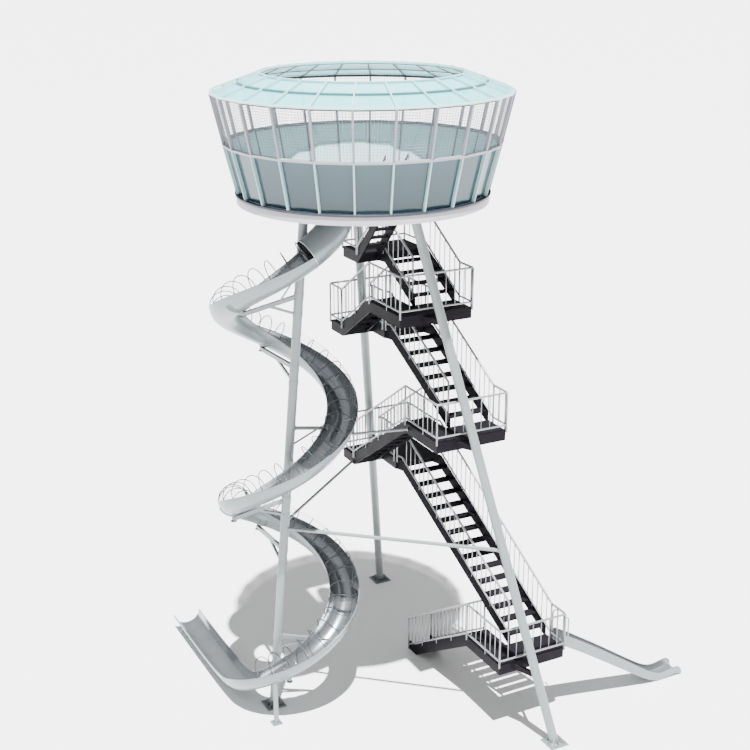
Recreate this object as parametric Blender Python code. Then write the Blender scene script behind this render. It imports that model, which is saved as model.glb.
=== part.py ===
import math

import bmesh
import bpy
from mathutils import Matrix, Vector

# Driving dimensions in metres. X runs along the front edge of the stair landings,
# Y runs away from that edge, and the pavilion axis is at X = Y = 0 until the last step.
GAP = 0.0003
GROUND = 0.0

# Pavilion: a 24-sided drum that widens upwards, with a shallow ring roof.
SIDES = 24
UNDERSIDE = 16.10
FLOOR_TOP = 16.32
FLOOR_THICK = 0.10
GLASS_FOOT_Z, GLASS_FOOT_R = 16.37, 3.467
MID_RAIL_Z, MID_RAIL_R = 17.74, 3.805
EAVE_Z, EAVE_R = 19.12, 4.123
PURLIN_Z, PURLIN_R = 19.388, 3.390
OCULUS_Z, OCULUS_R = 19.614, 2.760
FASCIA_R, FASCIA_THICK = 3.50, 0.06
BAND_HEIGHT = 0.05
MULLION_W, MULLION_D = 0.07, 0.10
GLASS_THICK = 0.02
NET_THICK = 0.012
SHEET_GAP = 0.012
BEAM_W = 0.12
HEAD_PLATE = 0.06

# Legs: straight round columns from a base plate to the underside of the floor.
LEG_R = 0.135
LEG_SIDES = 16
PLATE_SIZE, PLATE_THICK = 0.62, 0.03
LEG_LEFT = (Vector((-2.637, 1.21, 0)), Vector((-1.47, 0.68, UNDERSIDE)))
LEG_RIGHT = (Vector((4.06, -4.575, 0)), Vector((0.86, -1.21, UNDERSIDE)))
LEG_BACK = (Vector((4.185, 7.075, 0)), Vector((0.68, 1.86, UNDERSIDE)))

# Stair: three main landings at the front, half landings at the back.
DECK_THICK = 0.03
FASCIA_H = 0.32
PLATE = 0.05
LANDING_W, LANDING_L, NOTCH_L = 2.305, 1.873, 0.95
LANE_W = 0.84
RIGHT_FOOT_X = 0.95
RIGHT_WIDTH = LANDING_W - RIGHT_FOOT_X
KINK = 0.23
LANDING_AT = {
    "low": Vector((2.777, -3.402, 2.345)),
    "mid": Vector((1.230, -2.166, 9.342)),
    "high": Vector((0.424, -1.432, 12.990)),
}
HALF_DEPTH = 0.80
TOP_DEPTH = 0.95
HALF_MID_BACK, HALF_MID_Z = 5.34, 7.02
HALF_HIGH_BACK, HALF_HIGH_Z = 3.71, 11.76
WELL_W, WELL_MID, WELL_HIGH = 1.02, 0.95, 0.80
GROUND_BACK = 5.60
TOP_X, TOP_Y, TOP_Z = 0.33, 1.028, 14.33
TOP_ARRIVE = 0.694
LAST_W = 0.67
RISERS_UP = (15, 8, 5)
RISERS_LANE = (8, 8, 4)
RISERS_LAST = 7
STRINGER_DEEP = 0.40
STRINGER_UP = 0.10
TREAD_THICK = 0.045
TREAD_LEAST = 0.03
TREAD_BACK = 0.02
BRACKET_W, BRACKET_H = 0.10, 0.16
BRACKET_SPREAD = 0.28
RAIL_UP = 0.16
RAIL_RISE = 1.0
RAIL_R = 0.025
LOW_RAIL_R = 0.02
RAIL_SIDES = 4
RAIL_OUT = 0.015
POST_R = 0.022
POST_SIDES = 4
POST_GRIP = 0.16
POST_PITCH = 2.2
WELL_POST = 0.08
WELL_END = 0.38
LAST_RAIL_START = 0.45
INNER_SHORT = 0.20

# Spiral slide: a round section that follows a helix about its own axis.
HELIX_AXIS = Vector((-1.736, 1.735, 0))
HELIX_R = 1.688
HELIX_PITCH = 6.11
HELIX_Z = 12.71
SECTION_R = 0.457
SHELL = 0.012
HELIX_TURN = 153.37
STEP_TURN = 18.0
TROUGH_ARC = 6
TUBE_SIDES = 16
LIP = 0.02
SEAM = 0.015
TUBE_END, TUBE_TOP = 271.4, 385.0
TROUGH_TURNS = ((271.4, 0.4), (0.4, -270.6), (-270.6, -540.6))
CAGE_END = -504.6
HOOP_TURN = 30.0
HOOP_INSET = 1.0
CAGE_ROD_R = 0.015
HOOP_ARC = 4
HOOP_R = 0.014
DIAMOND = ((1, 0), (0, 1), (-1, 0), (0, -1))

# Arms from the left leg to the slide: turn, height on the leg, height of the strut's root.
CONSOLES = (
    (196.0, 13.35, 12.80),
    (84.0, 11.20, 10.75),
    (-200.0, 7.05, 6.55),
    (-265.0, 5.40, 4.90),
    (-430.0, 2.45, 1.95),
    (-484.0, 1.45, 1.10),
)
ARM_W, ARM_H, ARM_BELOW = 0.10, 0.12, 0.10
KNEE = 0.55
HANGER_R, HANGER_SIDES = 0.045, 6
STRUT_W = 0.07
TIE_R = 0.055
TIE_FRONT_Z = 6.10
BRACE_R = 0.045
BRACE_ROOT_Z = 6.30
BRACE_END = Vector((0.025, 0.16, -0.26))
STRUT_TURN = -55.0
SIDE_ARM_TURN = -44.0
SIDE_ARM_ROOT_Z = 9.33
SIDE_ARM_IN, SIDE_ARM_DROP = 0.26, 0.29
SIDE_ROD_ROOT_Z = 8.75
SIDE_ROD_KNEE = 0.66
SIDE_ROD_R = 0.03
STRUT_END = Vector((0.025, 1.743, -0.16))

# The slide's straight end.
RUNOUT_L = 5.4
RUNOUT_FALL = 0.43
RUNOUT_EASE = 0.745
RUNOUT_STATIONS = (0.25, 0.5, 0.8, 1.2, 2.4)
RUNOUT_JOINTS = (1.7, 3.6, 5.4)
RUNOUT_END_DEPTH = 0.82
RUNOUT_POSTS = (1.3, 4.5)
RUNOUT_POST_R = 0.033
RUNOUT_PLATE, RUNOUT_PLATE_THICK = 0.18, 0.012

# Post under the lowest turn.
SLIDE_POST_FOOT = Vector((-2.97, 0.21, 0.0))
SLIDE_POST_TURN = -489.0
SLIDE_POST_R = 0.075
SLIDE_POST_SIDES = 12
SLIDE_PLATE, SLIDE_PLATE_THICK = 0.32, 0.02

# Small chute: stations give X from the landing's corner, then heights of underside and rim.
CHUTE_NEAR, CHUTE_FAR = 0.08, 0.68
CHUTE_WALL = 0.03
CHUTE_FLOOR = 0.03
CHUTE_STATIONS = (
    (2.3053, 2.280, 2.66),
    (2.480, 2.270, 2.64),
    (3.820, 1.435, 1.80),
    (5.450, 0.365, 0.70),
    (5.880, 0.120, 0.43),
    (6.200, 0.010, 0.29),
    (6.450, 0.000, 0.27),
    (6.720, 0.035, 0.31),
    (6.930, 0.060, 0.33),
    (7.040, 0.040, 0.29),
    (7.120, 0.000, 0.20),
    (7.170, 0.000, 0.08),
)
ARCH_SIDES = 4
ARCH_R = 0.09
ARCH_X = 5.21
ARCH_FOOT, ARCH_Z = 2.60, 3.20

# Floor: holes give the lowest X and Y, then the highest.
STAIR_HOLE = (0.27, -0.86, 1.05, 0.60)
SLIDE_HOLE = (-0.60, 0.62, 0.42, 2.46)
BEAM_RING_R = 1.66
BEAM_STEP = 0.008
BEAMS = 6
RING_TOP = 16.33
BAND_IN, BAND_OUT = 3.38, 3.53
RAIL_HALF = 0.05
NET_TRIM, ROOF_TRIM = 0.07, 0.045
PURLIN_HALF = 0.025


def solid(verts, faces):
    """A closed mesh object from points and faces, with its normals turned outwards."""
    bm = bmesh.new()
    made = [bm.verts.new(v) for v in verts]
    for face in faces:
        bm.faces.new([made[i] for i in face])
    bmesh.ops.triangulate(bm, faces=[f for f in bm.faces if len(f.verts) == 4])
    bmesh.ops.recalc_face_normals(bm, faces=bm.faces)
    mesh = bpy.data.meshes.new("piece")
    bm.to_mesh(mesh)
    bm.free()
    piece = bpy.data.objects.new("piece", mesh)
    bpy.context.scene.collection.objects.link(piece)
    return piece


def loft(rings, closed=False):
    """Skin a list of equal point rings; the ends are capped unless the run closes on itself."""
    count = len(rings[0])
    verts = [p for ring in rings for p in ring]
    faces = []
    last = len(rings) if closed else len(rings) - 1
    for i in range(last):
        a = i * count
        b = (i + 1) % len(rings) * count
        for j in range(count):
            k = (j + 1) % count
            faces.append((a + j, a + k, b + k, b + j))
    if not closed:
        faces.append(tuple(range(count)))
        faces.append(tuple(range((len(rings) - 1) * count, len(rings) * count)))
    return solid(verts, faces)


def block(low, high):
    """An upright box from its lowest to its highest corner."""
    x0, y0, z0 = low
    x1, y1, z1 = high
    outline = [(x0, y0), (x1, y0), (x1, y1), (x0, y1)]
    return slab(outline, z0, z1)


def base_plate(foot, size, thickness):
    """A square plate on the ground, centred under a post."""
    half = size / 2
    return block((foot.x - half, foot.y - half, GROUND), (foot.x + half, foot.y + half, GROUND + thickness))


def slab(outline, z0, z1):
    """A flat plate: a plan outline between two heights."""
    return loft([[Vector((x, y, z)) for x, y in outline] for z in (z0, z1)])


def round_section(centre, along, radius, sides):
    """Points of a circle around a centre, square to a direction."""
    along = along.normalized()
    side = Vector((0, 0, 1)).cross(along)
    if side.length < 0.01:
        side = Vector((1, 0, 0))
    side.normalize()
    up = along.cross(side)
    turns = [math.tau * (i + 0.5) / sides for i in range(sides)]
    reach = radius / math.cos(math.pi / sides)
    return [centre + side * (reach * math.cos(t)) + up * (reach * math.sin(t)) for t in turns]


def pipe(path, radius, sides=RAIL_SIDES):
    """A round bar along a path of straight runs, mitred at each corner."""
    steps = [b - a for a, b in zip(path, path[1:])]
    ring = round_section(path[0], steps[0], radius, sides)
    rings = [ring]
    for i, point in enumerate(path[1:]):
        run = steps[i].normalized()
        ahead = steps[min(i + 1, len(steps) - 1)].normalized()
        mitre = run + ahead
        ring = [p + run * ((point - p).dot(mitre) / run.dot(mitre)) for p in ring]
        rings.append(ring)
    return loft(rings)


def flat_bar(start, end, width, height):
    """A straight bar of rectangular section, its height as near upright as it can be."""
    run = (end - start).normalized()
    side = run.cross(Vector((0, 0, 1)))
    if side.length < 0.01:
        side = Vector((1, 0, 0))
    side.normalize()
    up = side.cross(run)
    corners = [(-1, -1), (1, -1), (1, 1), (-1, 1)]
    spread = [side * (a * width / 2) + up * (b * height / 2) for a, b in corners]
    return loft([[p + s for s in spread] for p in (start, end)])


def ring_profile(profile, sides=SIDES, turn=0.0):
    """Turn a profile of (radius, height) pairs about the pavilion axis in flat facets."""
    rings = []
    for i in range(sides):
        a = turn + math.tau * i / sides
        rings.append([Vector((r * math.cos(a), r * math.sin(a), z)) for r, z in profile])
    return loft(rings, closed=True)


def combine(base, others, operation):
    """Join others to a base, or cut them from it."""
    group = bpy.data.collections.new("group")
    for other in others:
        group.objects.link(other)
    step = base.modifiers.new("combine", "BOOLEAN")
    step.operation = operation
    step.operand_type = "COLLECTION"
    step.collection = group
    step.solver = "EXACT"
    bpy.context.view_layer.update()
    seen = base.evaluated_get(bpy.context.evaluated_depsgraph_get())
    mesh = bpy.data.meshes.new_from_object(seen)
    base.modifiers.clear()
    base.data = mesh
    bpy.data.collections.remove(group)
    for other in others:
        bpy.data.objects.remove(other)


def make(name, pieces, material, cutters=()):
    """One named sub-part: its pieces joined into one body, less its cutters."""
    base = pieces[0]
    if len(pieces) > 1:
        combine(base, pieces[1:], "UNION")
    if cutters:
        combine(base, list(cutters), "DIFFERENCE")
    base.name = name
    base.data.name = name
    base.data.materials.clear()
    base.data.materials.append(material)
    base.data.shade_smooth()
    base.data.set_sharp_from_angle(angle=math.radians(35))
    return base


def paint(name, color, roughness, metallic=0.0, alpha=1.0):
    """A Principled material of one finish."""
    material = bpy.data.materials.new(name)
    material.use_nodes = True
    shader = material.node_tree.nodes["Principled BSDF"]
    shader.inputs["Base Color"].default_value = (*color, 1.0)
    shader.inputs["Roughness"].default_value = roughness
    shader.inputs["Metallic"].default_value = metallic
    shader.inputs["Alpha"].default_value = alpha
    return material


def leg_point(leg, z):
    """The centre of a leg at a height."""
    foot, head = leg
    return foot.lerp(head, (z - foot.z) / (head.z - foot.z))


def leg_cutter(leg):
    """A leg's own round, larger by the gap, to trim what meets it."""
    foot, head = leg
    run = (head - foot).normalized()
    ends = (foot - run, head + run)
    return loft([round_section(p, run, LEG_R + GAP, LEG_SIDES) for p in ends])


def leg_pieces(leg, top):
    """A column cut level at both ends, with its base and head plates."""
    foot, head = leg
    run = (head - foot).normalized()
    rings = []
    for z in (GROUND + PLATE_THICK / 2, top - PLATE_THICK / 2):
        ring = round_section(leg_point(leg, z), run, LEG_R, LEG_SIDES)
        rings.append([p + run * ((z - p.z) / run.z) for p in ring])
    half = PLATE_SIZE / 2
    plates = []
    for centre, low, high in (
        (leg_point(leg, GROUND), GROUND, GROUND + PLATE_THICK),
        (leg_point(leg, top), top - PLATE_THICK, top),
    ):
        size = half if low == GROUND else LEG_R + HEAD_PLATE
        corners = [(centre.x + side * size, centre.y + side * size) for side in (-1, 1)]
        plates.append(block((*corners[0], low), (*corners[1], high)))
    return [loft(rings)] + plates


def landing_outline(corner):
    """Plan of a main landing: deep on the left lane, short where the flight up begins."""
    x, y = corner.x, corner.y
    return [
        (x, y),
        (x + LANDING_W, y),
        (x + LANDING_W, y + NOTCH_L),
        (x + LANE_W, y + NOTCH_L),
        (x + LANE_W, y + LANDING_L),
        (x, y + LANDING_L),
    ]


def tray(outline, deck):
    """A deck plate with a deep edge plate all round its underside."""
    body = slab(outline, deck - FASCIA_H, deck)
    inner = inset(outline, PLATE)
    hollow = slab(inner, deck - 2 * FASCIA_H, deck - DECK_THICK)
    combine(body, [hollow], "DIFFERENCE")
    return body


def inset(outline, amount):
    """Move each edge of a square-cornered outline, listed anticlockwise, inwards."""
    count = len(outline)
    moved = []
    for i in range(count):
        before = Vector(outline[i - 1])
        here = Vector(outline[i])
        after = Vector(outline[(i + 1) % count])
        a = (here - before).normalized()
        b = (after - here).normalized()
        shift = Vector((-a.y, a.x)) + Vector((-b.y, b.x))
        moved.append(tuple(here + shift * amount))
    return moved


class Flight:
    """A straight flight between two decks; its plan may lean sideways as it climbs."""

    def __init__(self, low, high, width, risers, kink=0.0):
        self.low = low
        self.high = high
        self.width = width
        self.risers = risers
        self.kink = kink
        self.total = high.z - low.z
        self.run = abs(high.y - low.y)
        self.slope = self.total / self.run
        self.rise = self.total / risers
        self.top_start = self.slope * kink + STRINGER_UP

    def place(self, across, along, up):
        """A point given by its distance across, along and above the lower deck's edge."""
        share = along / self.run
        x = self.low.x + (self.high.x - self.low.x) * share + across
        y = self.low.y + (self.high.y - self.low.y) * share
        return Vector((x, y, self.low.z + up))

    def foot(self, across, along):
        """A point of the rail's foot line, which is level over either deck."""
        up = self.slope * (along + self.kink)
        return self.place(across, along, min(self.total, max(0.0, up)))

    def top_edge(self, along):
        """How far along the side plate's top edge is above the lower deck."""
        up = max(self.rise, self.top_start + self.slope * along)
        return min(self.total, up)

    def stringer(self, across, grow=0.0):
        """One side plate, level where it meets the upper deck."""
        bottom = self.top_start - STRINGER_DEEP
        start = GAP - grow
        reach = self.run - GAP + grow
        step = max(0.0, (self.rise - self.top_start) / self.slope)
        if self.low.z == GROUND:
            profile = [(-bottom / self.slope, 0.0), (start, 0.0)]
        else:
            profile = [(start, bottom - grow)]
        profile.append((start, self.top_edge(0.0) + grow))
        if step > 0.0:
            profile.append((step, self.rise + grow))
        profile += [
            ((self.total - self.top_start) / self.slope, self.total + grow),
            (reach, self.total + grow),
            (reach, self.total - FASCIA_H - grow),
            ((self.total - FASCIA_H - bottom) / self.slope, self.total - FASCIA_H - grow),
        ]
        sides = (across - grow, across + PLATE + grow)
        return loft([[self.place(a, s, z) for s, z in profile] for a in sides])

    def treads(self):
        """Open treads between the side plates, with a level strip beside each deck."""
        steps = []
        first = 1 if self.low.z == GROUND else 0
        for n in range(first, self.risers + 1):
            z = n * self.rise
            front = max(GAP, (z - self.top_start) / self.slope + TREAD_BACK)
            back = min(self.run - GAP, (z + self.rise - self.top_start) / self.slope + TREAD_BACK)
            if back - front > TREAD_LEAST:
                sides = (PLATE / 2, self.width - PLATE / 2)
                plan = [(sides[0], front), (sides[1], front), (sides[1], back), (sides[0], back)]
                steps.append(loft([[self.place(a, s, h) for a, s in plan] for h in (z - TREAD_THICK, z)]))
        return steps

    def build(self, name, cutters=()):
        """The flight's side plates and treads as one body."""
        pieces = [self.stringer(0.0), self.stringer(self.width - PLATE)] + self.treads()
        return make(name, pieces, CHARCOAL, cutters)

    def posts(self, across, places):
        """Rail posts that stand against the side plate."""
        bars = []
        for along in places:
            foot = self.foot(across, along)
            low = self.low.z + self.top_edge(along) - POST_GRIP
            bars.append(upright(foot, low))
        return bars

    def guards(self):
        """Both side plates, larger by the gap, to trim the posts beside them."""
        return [self.stringer(0.0, GAP), self.stringer(self.width - PLATE, GAP)]


def upright(foot, low=None):
    """A rail post, from its lower end to the handrail above a point of the foot line."""
    bottom = foot.z - POST_GRIP if low is None else low
    top = foot.z + RAIL_UP + RAIL_RISE
    return pipe([Vector((foot.x, foot.y, bottom)), Vector((foot.x, foot.y, top))], POST_R, POST_SIDES)


def lifted(path, height):
    """A path raised by a height."""
    return [p + Vector((0, 0, height)) for p in path]


def railing(name, line, posts, cutters, bottom_from=0):
    """Handrail, bottom rail and posts over a foot line, as one body."""
    pieces = [pipe(lifted(line, RAIL_UP + RAIL_RISE), RAIL_R)]
    pieces.append(pipe(lifted(line[bottom_from:], RAIL_UP), LOW_RAIL_R, POST_SIDES))
    return make(name, pieces + posts, GALVANISED, cutters)


def helix_frame(turn):
    """Centre, outward and upward directions of the slide's section at a turn in degrees."""
    a = math.radians(turn)
    outward = Vector((math.cos(a), math.sin(a), 0))
    climb = Vector((-math.sin(a) * HELIX_R, math.cos(a) * HELIX_R, HELIX_PITCH / math.tau))
    upward = outward.cross(climb).normalized()
    z = HELIX_Z + HELIX_PITCH * (turn - HELIX_TURN) / 360
    return HELIX_AXIS + outward * HELIX_R + Vector((0, 0, z)), outward, upward


def helix_point(turn, out=0.0, up=0.0):
    """A point of the slide, given in its section's plane."""
    centre, outward, upward = helix_frame(turn)
    return centre + outward * out + upward * up


def helix_sweep(section, start, end):
    """A section of (outward, upward) pairs carried along the slide's line."""
    steps = max(1, math.ceil(abs(end - start) / STEP_TURN))
    rings = []
    for i in range(steps + 1):
        turn = start + (end - start) * i / steps
        rings.append([helix_point(turn, a, b) for a, b in section])
    return loft(rings)


def circle(radius, sides, out=0.0, up=0.0):
    """A circle that its polygon touches from outside, as (outward, upward) pairs."""
    turns = [math.tau * (i + 0.5) / sides for i in range(sides)]
    reach = radius / math.cos(math.pi / sides)
    return [(out + reach * math.cos(t), up + reach * math.sin(t)) for t in turns]


def trough_section(radius=SECTION_R, depth=SECTION_R):
    """Half round shell, open above, with a rolled lip along each edge."""
    outer = []
    inner = []
    for i in range(TROUGH_ARC + 1):
        a = math.pi + math.pi * i / TROUGH_ARC
        outer.append((radius * math.cos(a), depth * math.sin(a)))
        inner.append(((radius - SHELL) * math.cos(a), (depth - SHELL) * math.sin(a)))
    right = [(radius + LIP, 0.0), (radius + LIP, LIP), (radius - SHELL, LIP)]
    left = [(SHELL - radius, LIP), (-radius - LIP, LIP), (-radius - LIP, 0.0)]
    return outer + right + inner[-2:0:-1] + left


def slide_cutter(turn):
    """The stretch of trough that holds a turn, solid and larger by the gap, to trim what meets it."""
    reach = SECTION_R + GAP / math.cos(math.pi / TROUGH_ARC / 2)
    turns = [math.pi * i / TROUGH_ARC for i in range(2 * TROUGH_ARC)]
    section = [(reach * math.cos(t), reach * math.sin(t)) for t in turns]
    for start, end in TROUGH_TURNS:
        if end <= turn <= start:
            return helix_sweep(section, start - SEAM, end + SEAM)


def console(turn, root_z, strut_root_z):
    """An arm from the left leg to below the slide, with a hanger up to it and a strut."""
    under = helix_point(turn, 0.0, -SECTION_R)
    end = under - Vector((0, 0, ARM_BELOW))
    root = leg_point(LEG_LEFT, root_z)
    knee = root.lerp(end, KNEE)
    return [
        flat_bar(root, end, ARM_W, ARM_H),
        pipe([end - Vector((0, 0, ARM_H / 2)), under + Vector((0, 0, ARM_BELOW))], HANGER_R, HANGER_SIDES),
        flat_bar(leg_point(LEG_LEFT, strut_root_z), knee, STRUT_W, STRUT_W),
    ]


def cage(name, start, end):
    """Rods along both lips of the trough with half round hoops between them."""
    side = SECTION_R + LIP / 2 - SHELL / 2
    seat = LIP + GAP + CAGE_ROD_R
    pieces = []
    for out in (-side, side):
        pieces.append(helix_sweep(circle(CAGE_ROD_R, RAIL_SIDES, out, seat), start, end))
    count = round(abs(end - start) / HOOP_TURN)
    first, last = start - HOOP_INSET, end + HOOP_INSET
    for i in range(count + 1):
        pieces.append(hoop(first + (last - first) * i / count, side, seat))
    return make(name, pieces, STAINLESS)


def hoop(turn, side, seat):
    """A half round hoop from lip to lip, square to the slide's line."""
    rings = []
    centre, outward, upward = helix_frame(turn)
    ahead = outward.cross(upward)
    for i in range(HOOP_ARC + 1):
        a = math.pi * i / HOOP_ARC
        radial = outward * math.cos(a) + upward * math.sin(a)
        middle = centre + upward * seat + radial * side
        rings.append([middle + radial * (HOOP_R * u) + ahead * (HOOP_R * v) for u, v in DIAMOND])
    return loft(rings)


def offset(points, distance, level_start=False):
    """Shift a polyline of (radius, height) pairs to its outer side."""
    normals = []
    for a, b in zip(points, points[1:]):
        run = (Vector(b) - Vector(a)).normalized()
        normals.append(Vector((run.y, -run.x)))
    moved = []
    for i, point in enumerate(points):
        before = normals[max(0, i - 1)]
        after = normals[min(i, len(normals) - 1)]
        shift = (before + after) * (distance / (1.0 + before.dot(after)))
        if i == 0 and level_start:
            shift = Vector((distance / after.x, 0.0))
        moved.append((point[0] + shift.x, point[1] + shift.y))
    return moved


def strip(points, inner, outer, level_start=False):
    """A closed profile between two offsets of a polyline."""
    return offset(points, outer, level_start) + offset(points, inner, level_start)[::-1]


def toward(a, b, distance):
    """The point at a distance from a towards b."""
    step = Vector(b) - Vector(a)
    return tuple(Vector(a) + step * (distance / step.length))


def lattice(chain, rails):
    """A shell in flat facets with one opening in every bay, as a single mesh."""
    skins = [offset(chain, d, True) for d in (MULLION_D / 2, -MULLION_D / 2)]
    turns = [math.tau * i / SIDES for i in range(SIDES)]
    verts = []
    faces = []
    corner = {}
    for skin, line in enumerate(skins):
        for j, (r, z) in enumerate(line):
            for i, t in enumerate(turns):
                corner[skin, i, j] = len(verts)
                verts.append(Vector((r * math.cos(t), r * math.sin(t), z)))
    for i in range(SIDES):
        k = (i + 1) % SIDES
        for j in range(len(chain) - 1):
            holes = []
            for skin in (0, 1):
                rim = [corner[skin, a, b] for a, b in ((i, j), (k, j), (k, j + 1), (i, j + 1))]
                hole = list(range(len(verts), len(verts) + 4))
                verts += bay_opening([verts[n] for n in rim], rails[j])
                faces += [(rim[n], rim[n - 3], hole[n - 3], hole[n]) for n in range(4)]
                holes.append(hole)
            a, b = holes
            faces += [(a[n], a[n - 3], b[n - 3], b[n]) for n in range(4)]
        for j in (0, len(chain) - 1):
            faces.append((corner[0, i, j], corner[0, k, j], corner[1, k, j], corner[1, i, j]))
    return solid(verts, faces)


def bay_opening(rim, margins):
    """Corners of the opening in one bay: half a mullion in from each side, and rails above and below."""
    low_left, low_right, high_right, high_left = rim
    height = ((high_left + high_right) - (low_left + low_right)).length / 2
    points = []
    for share in (margins[0] / height, 1.0 - margins[1] / height):
        left = low_left.lerp(high_left, share)
        right = low_right.lerp(high_right, share)
        inset_share = MULLION_W / 2 / (right - left).length
        points.append((left.lerp(right, inset_share), right.lerp(left, inset_share)))
    return [points[0][0], points[0][1], points[1][1], points[1][0]]


def clear_scene():
    """Start from an empty scene."""
    for item in list(bpy.data.objects):
        bpy.data.objects.remove(item)


clear_scene()

PAINTED = paint("painted_steel", (0.62, 0.66, 0.68), 0.45, 0.2)
CHARCOAL = paint("charcoal_paint", (0.025, 0.022, 0.03), 0.5, 0.1)
GALVANISED = paint("galvanised", (0.70, 0.71, 0.72), 0.42, 0.6)
STAINLESS = paint("stainless", (0.66, 0.67, 0.68), 0.28, 0.9)
FASCIA = paint("pale_fascia", (0.78, 0.78, 0.82), 0.5)
DARK_BAND = paint("dark_band", (0.05, 0.06, 0.09), 0.5)
FRAME_WHITE = paint("frame_white", (0.80, 0.86, 0.87), 0.4, 0.1)
LOWER_GLASS = paint("lower_glass", (0.36, 0.52, 0.60), 0.15, 0.0, 0.75)
ROOF_GLASS = paint("roof_glass", (0.58, 0.78, 0.80), 0.15, 0.0, 0.75)
NET = paint("net", (0.75, 0.78, 0.80), 0.5, 0.3, 0.35)
DECKING = paint("decking", (0.30, 0.31, 0.33), 0.7)


# Stair levels and flights.
LOW, MID, HIGH = LANDING_AT["low"], LANDING_AT["mid"], LANDING_AT["high"]
RIGHT_START = Vector((RIGHT_FOOT_X, NOTCH_L, 0))
LANE_TOP = Vector((0, LANDING_L, 0))

HALF_MID = Vector((MID.x, MID.y + HALF_MID_BACK, HALF_MID_Z))
HALF_HIGH = Vector((HIGH.x, HIGH.y + HALF_HIGH_BACK, HALF_HIGH_Z))
HALF_TOP = Vector((TOP_X, TOP_Y, TOP_Z))
ARRIVE = WELL_W + PLATE
GROUND_FOOT = Vector((LOW.x, LOW.y + GROUND_BACK, GROUND))
LOW_HEAD = HALF_MID + Vector((ARRIVE, -WELL_MID, 0))
MID_HEAD = HALF_HIGH + Vector((ARRIVE, -WELL_HIGH, 0))
HIGH_HEAD = HALF_TOP + Vector((TOP_ARRIVE, 0, 0))

UP_LOW = Flight(LOW + RIGHT_START, LOW_HEAD, RIGHT_WIDTH, RISERS_UP[0], KINK)
UP_MID = Flight(MID + RIGHT_START, MID_HEAD, RIGHT_WIDTH, RISERS_UP[1], KINK)
UP_HIGH = Flight(HIGH + RIGHT_START, HIGH_HEAD, RIGHT_WIDTH, RISERS_UP[2], KINK)
LANE_GROUND = Flight(GROUND_FOOT, LOW + LANE_TOP, LANE_W, RISERS_LANE[0])
LANE_MID = Flight(HALF_MID, MID + LANE_TOP, LANE_W, RISERS_LANE[1])
LANE_HIGH = Flight(HALF_HIGH, HIGH + LANE_TOP, LANE_W, RISERS_LANE[2])
LAST_TOP = Vector((TOP_X, STAIR_HOLE[1], FLOOR_TOP))
LAST = Flight(HALF_TOP, LAST_TOP, LAST_W, RISERS_LAST)


def half_outline(corner, well, right):
    """Plan of a half landing, short behind the well beside the left lane."""
    x, y = corner.x, corner.y
    back = y + HALF_DEPTH
    return [
        (x, y),
        (x + WELL_W, y),
        (x + WELL_W, y - well),
        (x + right, y - well),
        (x + right, back),
        (x, back),
    ]


RIGHT_EDGE = ARRIVE + RIGHT_WIDTH
OUTLINE = {
    "landing_low": (landing_outline(LOW), LOW.z),
    "landing_mid": (landing_outline(MID), MID.z),
    "landing_high": (landing_outline(HIGH), HIGH.z),
    "half_landing_mid": (half_outline(HALF_MID, WELL_MID, RIGHT_EDGE), HALF_MID.z),
    "half_landing_high": (half_outline(HALF_HIGH, WELL_HIGH, RIGHT_EDGE), HALF_HIGH.z),
    "half_landing_top": (
        [
            (TOP_X, TOP_Y),
            (TOP_X + TOP_ARRIVE + RIGHT_WIDTH, TOP_Y),
            (TOP_X + TOP_ARRIVE + RIGHT_WIDTH, TOP_Y + TOP_DEPTH),
            (TOP_X, TOP_Y + TOP_DEPTH),
        ],
        TOP_Z,
    ),
}


def landing_guard(name):
    """A landing's outer shape, larger by the gap, to trim what stands against it."""
    outline, deck = OUTLINE[name]
    return slab(inset(outline, -GAP), deck - FASCIA_H - GAP, deck + GAP)


def bracket(edge_point, leg):
    """A bar from a landing's edge plate to a leg at the same height."""
    return flat_bar(edge_point, leg_point(leg, edge_point.z), BRACKET_W, BRACKET_H)


def make_landing(name, leg, roots):
    """A landing with its brackets to the nearest leg."""
    outline, deck = OUTLINE[name]
    pieces = [tray(outline, deck)]
    pieces += [bracket(Vector((x, y, deck - FASCIA_H / 2)), leg) for x, y in roots]
    return make(name, pieces, CHARCOAL, [leg_cutter(leg)])


def front_roots(corner):
    """Two points on a main landing's front plate, either side of the right leg."""
    x = leg_point(LEG_RIGHT, corner.z).x
    return [(x + side * BRACKET_SPREAD, corner.y + PLATE / 2) for side in (-1, 1)]


def back_root(outline_name):
    """The point on a half landing's back plate that faces the back leg."""
    outline, deck = OUTLINE[outline_name]
    return [(leg_point(LEG_BACK, deck).x, outline[-1][1] - PLATE / 2)]


make_landing("landing_low", LEG_RIGHT, front_roots(LOW))
make_landing("landing_mid", LEG_RIGHT, front_roots(MID))
make_landing("landing_high", LEG_RIGHT, front_roots(HIGH))
for name in ("half_landing_mid", "half_landing_high", "half_landing_top"):
    make_landing(name, LEG_BACK, back_root(name))

UP_LOW.build("flight_low")
UP_MID.build("flight_mid")
UP_HIGH.build("flight_high")
LANE_MID.build("lane_flight_mid")
LANE_HIGH.build("lane_flight_high")
LAST.build("flight_last")
LANE_GROUND.build("lane_flight_ground")


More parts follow.
